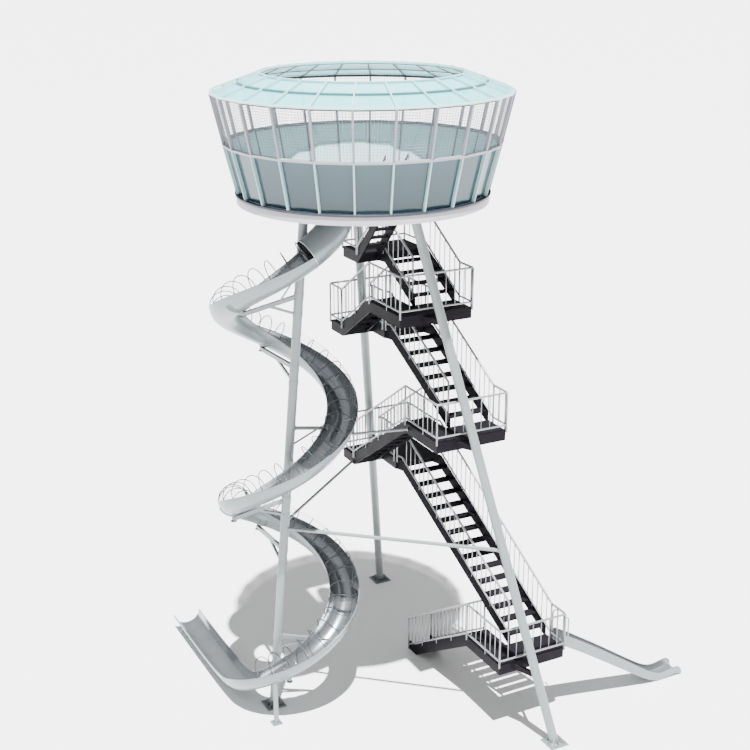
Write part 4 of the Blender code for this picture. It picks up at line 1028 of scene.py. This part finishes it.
# %% [markdown]
# The pavilion's wall is a ring of equal bays, so one bay is modelled and the ring tree sets it
# round the axis. Inputs are the count and the axis. The bay has slim bars: pale aqua below,
# broader grey ones beside the mesh, white rafters on the roof.

# %% Ring tree
SIDES = 24


def make_ring_tree():
    """The input geometry, repeated at equal turns about an axis."""
    tree, source, sink = geometry_tree("equal_turns", [
        ("Count", "NodeSocketInt", SIDES),
        ("Axis", "NodeSocketVector", None),
        ("Material", "NodeSocketMaterial", None),
    ])
    points = add(tree, "GeometryNodePoints", Count=source.outputs["Count"],
                 Position=source.outputs["Axis"])
    number = tree.nodes.new("GeometryNodeInputIndex").outputs[0]
    share = work_out(tree, "DIVIDE", number, source.outputs["Count"])
    angle = add(tree, "ShaderNodeCombineXYZ", Z=work_out(tree, "MULTIPLY", share, math.tau))
    whole = add(tree, "GeometryNodeGeometryToInstance", Geometry=source.outputs["Geometry"])
    turned = add(tree, "FunctionNodeEulerToRotation", Euler=angle.outputs[0])
    ring = add(tree, "GeometryNodeInstanceOnPoints", Points=points.outputs[0],
               Instance=whole.outputs[0], Rotation=turned.outputs[0])
    close_tree(tree, sink, ring.outputs[0], source)
    return tree


RING_TREE = make_ring_tree()


def around(name, parts, material, *nodes):
    """Parts of one bay, modelled about the origin, repeated round the pavilion's axis."""
    bay = mesh_piece(name, *merge_parts(parts), [material])
    place(grow(bay, RING_TREE, Count=SIDES, Axis=AXIS, Material=material), "frame_white", *nodes)


def on_ring(radius, z, turn=0.0):
    """A point of the drum about the origin; turn counts bays."""
    a = math.tau * turn / SIDES
    return Vector((radius * math.cos(a), radius * math.sin(a), z))


# %% Bars of one bay
FOOT_R, FOOT_Z = 3.467, 16.371
MIDDLE_R, MIDDLE_Z = 3.805, 17.74
EAVE_R, EAVE_Z = 4.123, 19.12
PURLIN_R, PURLIN_Z = 3.390, 19.388
OCULUS_R, OCULUS_Z = 2.760, 19.614
WALL_LEAN = -math.atan2(EAVE_R - FOOT_R, EAVE_Z - FOOT_Z)
ROOF_LEAN = -math.atan2(OCULUS_Z - EAVE_Z, EAVE_R - OCULUS_R)


def meridian(low, high, width, deep):
    """A bar in the plane of a mullion; its depth lies square to the wall."""
    start, end = on_ring(*low), on_ring(*high)
    side = Vector((0, 1, 0))
    run = (end - start).normalized()
    over = side.cross(run)
    section = [side * (a * width / 2) + over * (b * deep / 2) for a, b in CORNERS]
    return skin([[p + s for s in section] for p in (start, end)])


def parallel(radius, z, deep, tall, lean=0.0):
    """A straight bar of a ring, mitred between two mullions."""
    rings = []
    for turn in (0.0, 1.0):
        out = on_ring(1.0, 0.0, turn)
        section = []
        for u, v in CORNERS:
            du = u * deep / 2 * math.cos(lean) - v * tall / 2 * math.sin(lean)
            dv = u * deep / 2 * math.sin(lean) + v * tall / 2 * math.cos(lean)
            section.append(out * (radius + du) + Vector((0, 0, z + dv)))
        rings.append(section)
    return skin(rings)


print("wall leans out by %.1f degrees" % math.degrees(-WALL_LEAN))

# %% [markdown]
# The mullions are pale aqua. The posts above them are broader and grey. Behind the glass a
# second, inner set of grey bars holds the panes. Near-black bars below the rafters are painted
# shade, standing for the shaded undersides of the rafters.

# %% Wall and roof bars
BAR_DEEP, MULLION_W, POST_W, RAFTER_W, RAFTER_DEEP = 0.09, 0.046, 0.056, 0.036, 0.055
INNER = 0.079
around("wall_mullions", [meridian((FOOT_R, FOOT_Z + 0.02), (MIDDLE_R, MIDDLE_Z), MULLION_W, BAR_DEEP)],
       MULLION_PAINT, "pavilion_frame")
around("middle_rail", [parallel(MIDDLE_R, MIDDLE_Z, BAR_DEEP + 0.008, POST_W, WALL_LEAN)], MIDDLE_PAINT)
around("upper_posts", [meridian((MIDDLE_R, MIDDLE_Z + 0.03), (EAVE_R - 0.01, EAVE_Z - 0.03), POST_W, BAR_DEEP)],
       POST_PAINT)
around("inner_mullions", [
    meridian((FOOT_R - INNER, FOOT_Z + 0.03), (MIDDLE_R - INNER, MIDDLE_Z - 0.03), 0.06, 0.024),
    parallel(MIDDLE_R - INNER, MIDDLE_Z - 0.02, 0.024, 0.07, WALL_LEAN),
], POST_PAINT)
around("roof_rafters", [
    meridian((EAVE_R - 0.03, EAVE_Z + 0.002), (OCULUS_R + 0.01, OCULUS_Z - 0.010), RAFTER_W, RAFTER_DEEP),
    parallel(EAVE_R - 0.005, EAVE_Z - 0.01, BAR_DEEP - 0.01, RAFTER_W, WALL_LEAN),
    parallel(OCULUS_R + 0.016, OCULUS_Z - 0.026, 0.032, 0.05, ROOF_LEAN),
], RAFTER_PAINT)
around("roof_purlin", [parallel(PURLIN_R, PURLIN_Z - 0.022, 0.045, 0.05, ROOF_LEAN)], PURLIN_PAINT)
# Painted shade: these near-black bars give the rafters' shaded undersides.
around("roof_inner_bars", [
    meridian((EAVE_R - 0.16, EAVE_Z - 0.036), (OCULUS_R + 0.01, OCULUS_Z - INNER), 0.04, 0.022),
    parallel(PURLIN_R, PURLIN_Z - INNER, 0.04, 0.022, ROOF_LEAN),
    parallel(OCULUS_R + 0.015, OCULUS_Z - INNER, 0.03, 0.024, ROOF_LEAN),
    parallel(EAVE_R - 0.13, EAVE_Z - 0.06, 0.05, 0.06),
], RAFTER_UNDERSIDE_SHADE)

# %% [markdown]
# The upper wall is white wire mesh with square cells of 0.083 m. Level wires follow the facets
# of the wall, and the others climb it at equal steps, so rods on lines are enough.

# %% Wire mesh wall
CELL, COLUMNS, MESH_WIRE = 0.083, 12, 0.0044
MESH_IN = 0.056
MESH_LOW, MESH_SHARE = 0.03, 0.92
CLIMB_LOW, CLIMB_HIGH = 0.025, 0.95


def wall_point(turn, share):
    """A point just inside the upper wall: turn counts bays, share goes up."""
    low, high = math.floor(turn), math.floor(turn) + 1
    radius = MIDDLE_R + (EAVE_R - MIDDLE_R) * share - MESH_IN
    z = MIDDLE_Z + (EAVE_Z - MIDDLE_Z) * share
    return AXIS + on_ring(radius, z, low).lerp(on_ring(radius, z, high), turn - low)


rows = round((EAVE_Z - MIDDLE_Z) / CELL)
level_lines = [[wall_point(i, MESH_LOW + MESH_SHARE * r / rows) for i in range(SIDES)] for r in range(1, rows)]
climbing = [[wall_point(i + c / COLUMNS, CLIMB_LOW), wall_point(i + c / COLUMNS, CLIMB_HIGH)]
            for i in range(SIDES) for c in range(COLUMNS)]
mesh_level = rods("mesh_level_wires", level_lines, MESH_WIRE, WIRE, sides=4, closed=True)
mesh_climb = rods("mesh_climbing_wires", climbing, MESH_WIRE, WIRE, sides=4)
place(mesh_level, "net", "net_wall")
place(mesh_climb, "net")
print("mesh cells of", CELL, "m;", len(level_lines), "level wires")

# %% [markdown]
# The rim below is rolled round, not faceted, so it is turned as a smooth ring. The dark seal
# above it closes the joint under the glass.

# %% Rolled rim and seal
RING_STEPS = 144


def turned_ring(name, profile, material):
    """A profile of (radius, height) pairs turned about the pavilion's axis."""
    rings = []
    for i in range(RING_STEPS):
        a = math.tau * i / RING_STEPS
        rings.append([AXIS + Vector((r * math.cos(a), r * math.sin(a), z)) for r, z in profile])
    return mesh_piece(name, *skin(rings, closed=True), [material])


rim = [(3.44, 16.10), (3.488, 16.10), (3.50, 16.112), (3.50, 16.308), (3.488, 16.33), (3.44, 16.33)]
place(turned_ring("floor_rim", rim, FASCIA_PAINT), "pale_fascia", "floor_ring")
seal = [(3.38, 16.3303), (3.525, 16.3303), (3.535, 16.338), (3.54, 16.38), (3.53, 16.388),
        (3.45, 16.388), (3.38, 16.37)]
place(turned_ring("dark_seal_ring", seal, SEAL), "dark_band", "base_band")

# %% [markdown]
# Glass panes stay as the CAD made them, flat from mullion to mullion. Only their finish changes.

# %% Finishes on kept nodes
STAIR_STEEL = ("landing_", "half_landing_", "flight_", "lane_flight_")


def repaint(material, nodes):
    """Give kept CAD nodes a detailed finish."""
    for name in nodes:
        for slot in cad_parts[name].material_slots:
            slot.material = material
    print(material.name, "on", len(nodes), "nodes")


repaint(WALL_GLASS, ["glass_wall"])
repaint(ROOF_GLASS, ["roof_glass"])
repaint(LEG_PAINT, ["floor_beams"])
repaint(DECKING, ["floor_plate"])
repaint(CHARCOAL, [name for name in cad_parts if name.startswith(STAIR_STEEL)])

# %% [markdown]
# Steel stands on concrete with base plates, and each plate is held down by nuts on studs, with
# washers. So a bolt is one small set of cylinders that the bolt tree puts on points.

# %% Bolt tree
WASHER, NUT, STUD = (16, 2.4, 0.4, 0.2), (6, 1.8, 1.6, 1.2), (10, 1.0, 2.9, 1.45)


def make_bolt_tree():
    """A washer, a nut and a stud's end on every point, as sides and multiples of the size."""
    tree, source, sink = geometry_tree("bolts_on_points", [
        ("Size", "NodeSocketFloat", 0.012),
        ("Material", "NodeSocketMaterial", None),
    ])
    size = source.outputs["Size"]
    joined = tree.nodes.new("GeometryNodeJoinGeometry")
    for sides, *shares in (WASHER, NUT, STUD):
        wide, tall, lift = (work_out(tree, "MULTIPLY", size, share) for share in shares)
        part = add(tree, "GeometryNodeMeshCylinder", Vertices=sides, Radius=wide, Depth=tall)
        moved = add(tree, "GeometryNodeTransform", Geometry=part.outputs[0], Translation=up_by(tree, lift))
        tree.links.new(moved.outputs[0], joined.inputs[0])
    bolts = add(tree, "GeometryNodeInstanceOnPoints", Points=source.outputs["Geometry"],
                Instance=joined.outputs[0])
    close_tree(tree, sink, bolts.outputs[0], source)
    return tree


BOLT_TREE = make_bolt_tree()


def bolts(name, points, size):
    """Bolts that stand upright on points."""
    feet = lines_object(name, [[p] for p in points])
    place(grow(feet, BOLT_TREE, Size=size, Material=BOLT), "painted_steel")


# %% [markdown]
# The three legs are round tubes that rake inwards. Each stands on a base plate with stiffeners
# and meets the pavilion's beams with a smaller plate.

# %% Legs
LEG_R, UNDER = 0.135, 16.10
LEFT_LEG = (at(-2.637, 1.21), at(-1.47, 0.68, UNDER))
RIGHT_LEG = (at(4.06, -4.575), at(0.86, -1.21, UNDER))
BACK_LEG = (at(4.185, 7.075), at(0.68, 1.86, UNDER))
PLATE_HALF, PLATE_T, HEAD_HALF = 0.31, 0.03, LEG_R + 0.06
STIFFENERS, STIFFENER_TOP = 8, 0.22
ANCHOR_INSET, ANCHOR_SHARE, ANCHOR_SIZE = 0.055, 0.45, 0.012


def leg_point(leg, z):
    """The middle of a leg at a height."""
    return leg[0].lerp(leg[1], z / UNDER)


def level_round(leg, radius, z, sides=40):
    """A leg's round, cut level at a height."""
    run = (leg[1] - leg[0]).normalized()
    return [p + run * ((z - p.z) / run.z) for p in circle(leg_point(leg, z), run, radius, sides)]


def plate_block(centre, half, low, high, edge=0.006):
    """A square plate with a small chamfer round its top."""
    rings = []
    for z, cut in ((low, 0.0), (high - edge, 0.0), (high, edge)):
        h = half - cut
        rings.append([Vector((centre.x + a * h, centre.y + b * h, z)) for a, b in CORNERS])
    return skin(rings)


def gusset(centre, direction, inner, outer, low, high, thick=0.014):
    """A stiffener between a tube and its base plate."""
    across = Vector((-direction.y, direction.x, 0)) * (thick / 2)
    rings = []
    for s in (-1, 1):
        rings.append([centre + direction * u + Vector((0, 0, z)) + across * s
                      for u, z in ((inner, low), (outer, low), (outer, low + 0.03), (inner, high))])
    return skin(rings)


def leg_parts(leg):
    """The tube with its plates, weld collar and stiffeners."""
    top, seat = UNDER - GAP, PLATE_T * 0.9
    foot, head = leg_point(leg, 0), leg_point(leg, UNDER)
    weld = ((LEG_R + 0.016, seat), (LEG_R + 0.002, PLATE_T + 0.016))
    parts = [skin([level_round(leg, LEG_R, z) for z in (PLATE_T / 2, top - PLATE_T / 2)]),
             skin([level_round(leg, r, z) for r, z in weld]),
             plate_block(foot, PLATE_HALF, 0.0, PLATE_T),
             plate_block(head, HEAD_HALF, top - PLATE_T, top)]
    for i in range(STIFFENERS):
        a = math.tau * i / STIFFENERS
        along = Vector((math.cos(a), math.sin(a), 0))
        reach = PLATE_HALF - 0.05 if i % 2 == 0 else PLATE_HALF * 1.12
        parts.append(gusset(foot, along, LEG_R * 0.8, reach, seat, STIFFENER_TOP))
    return parts


def leg_bolts(leg):
    """Two anchor bolts along each side of the base plate."""
    foot, reach = leg_point(leg, 0), PLATE_HALF - ANCHOR_INSET
    spots = [(a * reach, b * reach * ANCHOR_SHARE) for a in (-1, 1) for b in (-1, 1)]
    spots += [(b, a) for a, b in spots]
    return [foot + Vector((x, y, PLATE_T)) for x, y in spots]


print("leg tubes %.2f m across, base plates %.2f m wide" % (2 * LEG_R, 2 * PLATE_HALF))

# %% [markdown]
# The left leg also carries the spiral. Each console is a box arm under the trough, a knee strut
# back to the leg, and a short stub up to the saddle. One row gives its turn on the helix and the
# heights of arm and strut on the leg.

# %% Consoles and legs
CONSOLES = ((196.0, 13.35, 12.80), (84.0, 11.20, 10.75), (-200.0, 7.05, 6.55), (-265.0, 5.40, 4.90),
            (-430.0, 2.45, 1.95), (-484.0, 1.45, 1.10))
ARM_W, ARM_H, ARM_BELOW, KNEE, STRUT_W, STUB_R = 0.10, 0.12, 0.10, 0.55, 0.07, 0.045
ARM_SLEEVE, STRUT_SLEEVE, SLEEVE_WALL = 0.11, 0.07, 0.008
LINK_R, LINK_TURN, LINK_SHARE = 0.026, 246.0, 0.33
STRAP_R, STRAP_SHIFTS, STRAP_ANGLES = 0.014, (-2.2, 0.0, 2.2), range(205, 336, 10)


def console_parts(turn, root_z, strut_z):
    """An arm from the left leg to below the trough, its knee strut and the stub under the saddle."""
    centre, out, up = helix_frame(turn)
    under = centre - up * SECTION_R
    end = under - UPWARDS * ARM_BELOW
    root = leg_point(LEFT_LEG, root_z)
    run = (end - root).normalized()
    tip = end - UPWARDS * (ARM_H / 2 + 0.012)
    parts = [box_bar(root, end + run * 0.03, ARM_W, ARM_H),
             round_bar(tip, under + UPWARDS * 0.004, STUB_R, 24),
             round_bar(tip, tip + UPWARDS * 0.014, STUB_R + 0.05, 28),
             box_bar(leg_point(LEFT_LEG, strut_z), root.lerp(end, KNEE), STRUT_W, STRUT_W)]
    for z, tall in ((root_z, ARM_SLEEVE), (strut_z, STRUT_SLEEVE)):
        parts.append(skin([level_round(LEFT_LEG, LEG_R + SLEEVE_WALL, z + s * tall, 32) for s in (-1, 1)]))
    return parts


def link_bar():
    """The slim link between the first console and the trough above it."""
    turn, root_z, _ = CONSOLES[0]
    low = leg_point(LEFT_LEG, root_z).lerp(slide_point(turn, 270), LINK_SHARE)
    return round_bar(low, slide_point(LINK_TURN, 270, 0.0, SECTION_R + 0.002), LINK_R)


left_parts = leg_parts(LEFT_LEG)
for console in CONSOLES:
    left_parts += console_parts(*console)
left_parts.append(link_bar())
for name, parts, node in (("left_leg_with_arms", left_parts, "leg_left"),
                          ("right_leg", leg_parts(RIGHT_LEG), "leg_right"),
                          ("back_leg", leg_parts(BACK_LEG), "leg_back")):
    place(mesh_piece(name, *merge_parts(parts), [LEG_PAINT]), "painted_steel", node)
bolts("anchor_bolts", [p for leg in (LEFT_LEG, RIGHT_LEG, BACK_LEG) for p in leg_bolts(leg)], ANCHOR_SIZE)

straps = [[slide_point(turn + shift, a, 0.0, SECTION_R + 0.007) for a in STRAP_ANGLES]
          for turn, _, _ in CONSOLES for shift in STRAP_SHIFTS]
place(rods("saddle_straps", straps, STRAP_R, LEG_PAINT, sides=6), "painted_steel")

# %% [markdown]
# Round ties join the legs to each other, to the landings and to the trough's side. Each stops at
# the surface of what it meets, where a welded flange would be.

# %% Ties
TIE_R, BRACE_R, ROD_R = 0.055, 0.045, 0.03
COLLAR_L, COLLAR_WALL = 0.03, 0.016
FRONT_Z, BRACE_Z, SIDE_Z, SIDE_LOW_Z = 6.10, 6.30, 9.33, 8.75


def from_leg(leg, z, goal, inset=0.01):
    """A point on a leg's skin at a height, on the way to a goal."""
    start = leg_point(leg, z)
    return start + (goal - start).normalized() * (LEG_R - inset)


def tie(name, start, end, radius, node, more=()):
    """A round tie that replaces one CAD node, with a collar at both ends."""
    parts = [round_bar(start, end, radius, 24)]
    run = (end - start).normalized() * COLLAR_L
    for p, inwards in ((start, run), (end, -run)):
        parts.append(round_bar(p, p + inwards, radius + COLLAR_WALL, 24))
    place(mesh_piece(name, *merge_parts(parts + list(more)), [LEG_PAINT]), "painted_steel", node)


tie("front_tie", from_leg(LEFT_LEG, FRONT_Z, leg_point(RIGHT_LEG, FRONT_Z)),
    from_leg(RIGHT_LEG, FRONT_Z, leg_point(LEFT_LEG, FRONT_Z)), TIE_R, "tie_front")
brace_end = HALF_MID + Vector((0.0, 0.16, -0.26))
tie("half_landing_brace", from_leg(LEFT_LEG, BRACE_Z, brace_end), brace_end, BRACE_R, "brace_half_landing")

centre, out, up = helix_frame(-55.0)
strut_end = MID + Vector((0.0, 1.743, -0.16))
strut_line = strut_end - (centre - up * (SECTION_R / 3))
strut_start = strut_end - strut_line.normalized() * (strut_line.length - SECTION_R * 0.985)
tie("slide_strut", strut_start, strut_end, BRACE_R, "strut_slide")

centre, out, up = helix_frame(-44.0)
side_root, side_goal = leg_point(LEFT_LEG, SIDE_Z), centre - out * 0.26 - up * 0.29
side_knee, side_stop = side_root.lerp(side_goal, 0.66), side_root.lerp(side_goal, 0.86)
knee_strut = round_bar(from_leg(LEFT_LEG, SIDE_LOW_Z, side_knee), side_knee, ROD_R)
tie("side_arm", from_leg(LEFT_LEG, SIDE_Z, side_goal), side_stop, TIE_R, "arm_slide", [knee_strut])

# %% [markdown]
# The lowest turn rests on a round post, and the straight end stands on two slim posts. Each
# post's top follows the underside of the trough.

# %% Slide posts
LEAN = math.cos(math.atan(PITCH / (math.tau * HELIX_R)))


def under_helix(x, y, turn):
    """Height of the trough's underside above a point near a turn."""
    dx, dy = x - HELIX_CENTRE.x, y - HELIX_CENTRE.y
    near = turn + (math.degrees(math.atan2(dy, dx)) - turn + 180) % 360 - 180
    off = math.hypot(dx, dy) - HELIX_R
    deep = math.sqrt(max(0.0, SECTION_R ** 2 - off ** 2)) / LEAN
    return HELIX_Z + PITCH * (near - HELIX_TURN) / 360 - deep


POST_R, POST_TURN, POST_PLATE, POST_T, POST_BOLT = 0.075, -489.0, 0.16, 0.02, 0.007
SLIM_R, SLIM_PLATE, SLIM_T, SLIM_AT = 0.033, 0.09, 0.012, (1.3, 4.5)
CRADLE_W, CRADLE_T, CRADLE_ANGLES = 0.06, 0.012, range(215, 326, 10)
post_foot = at(-2.97, 0.21)
low_round = circle(post_foot + UPWARDS * 0.01, UPWARDS, POST_R, 28)
high_round = [Vector((p.x, p.y, under_helix(p.x, p.y, POST_TURN) + 0.003)) for p in low_round]
parts = [skin([low_round, high_round]), plate_block(post_foot, POST_PLATE, 0.0, POST_T)]
for i in range(4):
    a = math.tau * (i + 0.5) / 4
    parts.append(gusset(post_foot, Vector((math.cos(a), math.sin(a), 0)), 0.06, 0.15, 0.018, 0.13, 0.01))
place(mesh_piece("lowest_turn_post", *merge_parts(parts), [LEG_PAINT]), "painted_steel", "slide_post")


def slim_post(s):
    """A post under the straight end, with its plate and the cradle that holds the sheet."""
    centre, out, up, depth = run_frame(s)
    foot = Vector((centre.x, centre.y, 0))
    head = foot + UPWARDS * (centre.z - depth * SECTION_R + 0.004)
    post = [round_bar(foot + UPWARDS * 0.006, head, SLIM_R, 20),
            plate_block(foot, SLIM_PLATE, 0.0, SLIM_T, 0.003)]
    turns = [math.radians(d) for d in CRADLE_ANGLES]
    cradle = [centre + out * (SECTION_R * math.cos(a)) + up * (SECTION_R * depth * math.sin(a)) for a in turns]
    for p, q in zip(cradle, cradle[1:]):
        square = Vector((0, 1, 0)).cross(q - p).normalized()
        post.append(box_bar(p, q, CRADLE_W, CRADLE_T, up=square))
    return foot, post


POST_REACH, SLIM_REACH = 0.125, 0.065
around_post = ((-POST_REACH, 0), (POST_REACH, 0), (0, -POST_REACH), (0, POST_REACH))
spots = [post_foot + Vector((x, y, POST_T)) for x, y in around_post]
parts = []
for s in SLIM_AT:
    foot, post = slim_post(s)
    parts += post
    spots += [foot + Vector((a * SLIM_REACH, b * SLIM_REACH, SLIM_T)) for a, b in CORNERS]
place(mesh_piece("straight_end_posts", *merge_parts(parts), [SATIN_PLAIN]), "stainless")
bolts("post_bolts", spots, POST_BOLT)

# %% [markdown]
# The small chute is a folded sheet with upright sides. Each row gives a distance from the low
# landing, the height of the bed and the height of the sides. A smooth line runs through the rows.

# %% Small chute
CHUTE = ((2.3053, 2.280, 2.66), (2.480, 2.270, 2.64), (3.820, 1.435, 1.80), (5.450, 0.365, 0.70),
         (5.880, 0.120, 0.43), (6.200, 0.010, 0.29), (6.450, 0.000, 0.27), (6.720, 0.035, 0.31),
         (6.930, 0.060, 0.33), (7.040, 0.040, 0.29), (7.120, 0.000, 0.20), (7.170, 0.000, 0.08))
CHUTE_NEAR, CHUTE_FAR, CHUTE_SHEET, CHUTE_BEND = 0.08, 0.68, 0.016, 0.045
CHUTE_ROUND, LEAST_BED, LEAST_SIDE = 0.07, 0.002, 0.05


def smooth_stations(stations, steps=4):
    """More stations on a smooth line through the given ones."""
    result = []
    for i, (start, end) in enumerate(zip(stations, stations[1:])):
        before, after = stations[max(0, i - 1)], stations[min(len(stations) - 1, i + 2)]
        reach = end[0] - start[0]
        for t in (k / steps for k in range(steps)):
            heights = []
            for c in (1, 2):
                leave = (end[c] - before[c]) / (end[0] - before[0]) * reach
                arrive = (after[c] - start[c]) / (after[0] - start[0]) * reach
                heights.append((2 * t ** 3 - 3 * t ** 2 + 1) * start[c] + (t ** 3 - 2 * t ** 2 + t) * leave
                               + (3 * t ** 2 - 2 * t ** 3) * end[c] + (t ** 3 - t ** 2) * arrive)
            bed, side = heights
            result.append((start[0] + reach * t, max(LEAST_BED, bed), max(bed + LEAST_SIDE, side)))
    return result + [stations[-1]]


def chute_section(bottom, top):
    """Folded sheet with rounded corners, as (Y, Z): round the outside, then back round the inside."""
    near, far, bend = CHUTE_NEAR, CHUTE_FAR, CHUTE_BEND
    corner = [math.pi / 2 * i / 4 for i in range(5)]
    outer = [(near, top)]
    outer += [(near + bend - bend * math.cos(a), bottom + bend - bend * math.sin(a)) for a in corner]
    outer += [(far + near - y, z) for y, z in reversed(outer)]
    inner = []
    for y, z in reversed(outer):
        side = 1 if y < (near + far) / 2 else -1
        inner.append((y + side * CHUTE_SHEET, z if z > top - 0.001 else z + CHUTE_SHEET))
    return outer + inner


rows = smooth_stations(CHUTE)
rings, uv, reach = [], [], 0.0
for before, (x, bottom, top) in zip([rows[0]] + rows, rows):
    section = chute_section(bottom, top)
    rings.append([LOW + Vector((x, y, z - LOW.z)) for y, z in section])
    reach += math.hypot(x - before[0], bottom - before[1])
    uv += [(reach, i * CHUTE_ROUND) for i in range(len(section))]
verts, faces = skin(rings)
half = len(rings[0]) // 2
inside = [int(half <= i % (2 * half) < 2 * half - 1) for i in range(len(faces) - 2)]
chute = mesh_piece("small_chute", verts, faces, [SATIN, CHUTE_BED], uv=uv, slots=inside + [0, 0])
place(chute, "stainless", "small_slide")
print("small chute: %.2f m along its bed" % reach)

# %% [markdown]
# The chute's rims are rolled round, because children hold them. They end just short of the
# ground. Two arches at its head are what children grip when they sit down.

# %% Rims and grab arches
RIM_ROD, RIM_INSET, RIM_DOWN = 0.02, 0.012, 0.006
ARCH_R, ARCH_INSET, ARCH_X, ARCH_Z, ARCH_FOOT, ARCH_ROD = 0.09, 0.015, 5.21, 3.20, 2.60, 0.022
rims = [[LOW + Vector((x, y, top - LOW.z - RIM_DOWN)) for x, bottom, top in rows[:-3]]
        for y in (CHUTE_NEAR + RIM_INSET, CHUTE_FAR - RIM_INSET)]
place(rods("chute_rims", rims, RIM_ROD, SATIN_PLAIN, sides=10), "stainless")


def arch(y):
    """A grab arch: up, over a half round and down."""
    crown = [(ARCH_X - ARCH_R * math.cos(a), ARCH_Z + ARCH_R * math.sin(a))
             for a in (math.pi * i / 10 for i in range(11))]
    line = [(ARCH_X - ARCH_R, ARCH_FOOT), *crown, (ARCH_X + ARCH_R, ARCH_FOOT)]
    return [at(x, 0, z) + Vector((0, LOW.y - AXIS.y + y, 0)) for x, z in line]


arches = [arch(y) for y in (CHUTE_NEAR + ARCH_INSET, CHUTE_FAR - ARCH_INSET)]
place(rods("grab_arches", arches, ARCH_ROD, GALVANISED, sides=12), "galvanised")

# %% [markdown]
# The tower stands on a plain pale floor that reaches the horizon. A sky that brightens upwards
# fills the shadows, and one sun gives them an edge. The camera alone sees the sky as white.

# %% Floor
FLOOR_HALF, FLOOR_TONE = 1500, 0.93
floor_mesh = bpy.data.meshes.new("ground")
floor_mesh.from_pydata([(a * FLOOR_HALF, b * FLOOR_HALF, 0) for a, b in CORNERS], [], [(0, 1, 2, 3)])
ground = show("ground", floor_mesh)
floor_paint, tree, shader = finish("floor_white")
shader.inputs["Base Color"].default_value = (FLOOR_TONE, FLOOR_TONE, FLOOR_TONE, 1)
shader.inputs["Roughness"].default_value = 0.9
floor_mesh.materials.append(floor_paint)
print("floor laid")

# %% Light
SKY_LOW, SKY_HIGH, SKY_SEEN = 0.35, 0.70, 5.5
SUN_RUN, SUN_POWER, SUN_ANGLE = Vector((2.25, 5.7, -18.0)), 18.0, math.radians(0.8)
world = bpy.data.worlds.new("studio")
bpy.context.scene.world = world
world.use_nodes = True
tree = world.node_tree
backdrop = tree.nodes["Background"]
backdrop.inputs["Strength"].default_value = 1.0
direction = tree.nodes.new("ShaderNodeTexCoord")
height = add(tree, "ShaderNodeSeparateXYZ", Vector=direction.outputs["Generated"])
sky = add(tree, "ShaderNodeMapRange", Value=height.outputs["Z"], From_Min=-0.1, From_Max=0.8,
          To_Min=SKY_LOW, To_Max=SKY_HIGH)
seen = tree.nodes.new("ShaderNodeLightPath").outputs["Is Camera Ray"]
shown = mix_tones(tree, seen, sky.outputs[0], (SKY_SEEN, SKY_SEEN, SKY_SEEN, 1))
tree.links.new(shown, backdrop.inputs["Color"])

sun_data = bpy.data.lights.new("key", "SUN")
sun_data.energy = SUN_POWER
sun_data.angle = SUN_ANGLE
sun = show("key", sun_data)
sun.rotation_euler = SUN_RUN.to_track_quat("-Z", "Y").to_euler()
print("sun from", [round(-v, 2) for v in SUN_RUN.normalized()])

# %% [markdown]
# The camera looks down from a little above the pavilion. Its lens, place and slight shift give
# the picture's frame.

# %% Camera
CAMERA_PLACE, LENS, SHIFT, SIGHT_END = (-18.8875, -33.1741, 23.1552), 62.366, (0.00094, -0.01182), 4000.0
RIGHT = Vector((0.88978289, -0.45637909, -0.00212924))
UP = Vector((0.14656115, 0.28131949, 0.94835604))
BACK = -Vector((0.43221087, 0.84414304, -0.31720072))
camera_data = bpy.data.cameras.new("camera")
camera_data.lens = LENS
camera_data.shift_x, camera_data.shift_y = SHIFT
camera_data.clip_end = SIGHT_END
camera = show("camera", camera_data)
turned = Matrix((RIGHT, UP, BACK)).transposed().to_4x4()
camera.matrix_world = Matrix.Translation(CAMERA_PLACE) @ turned
bpy.context.scene.camera = camera
print("camera at", CAMERA_PLACE)

# %% [markdown]
# Last, the view layer is brought up to date.

# %% Update
bpy.context.view_layer.update()
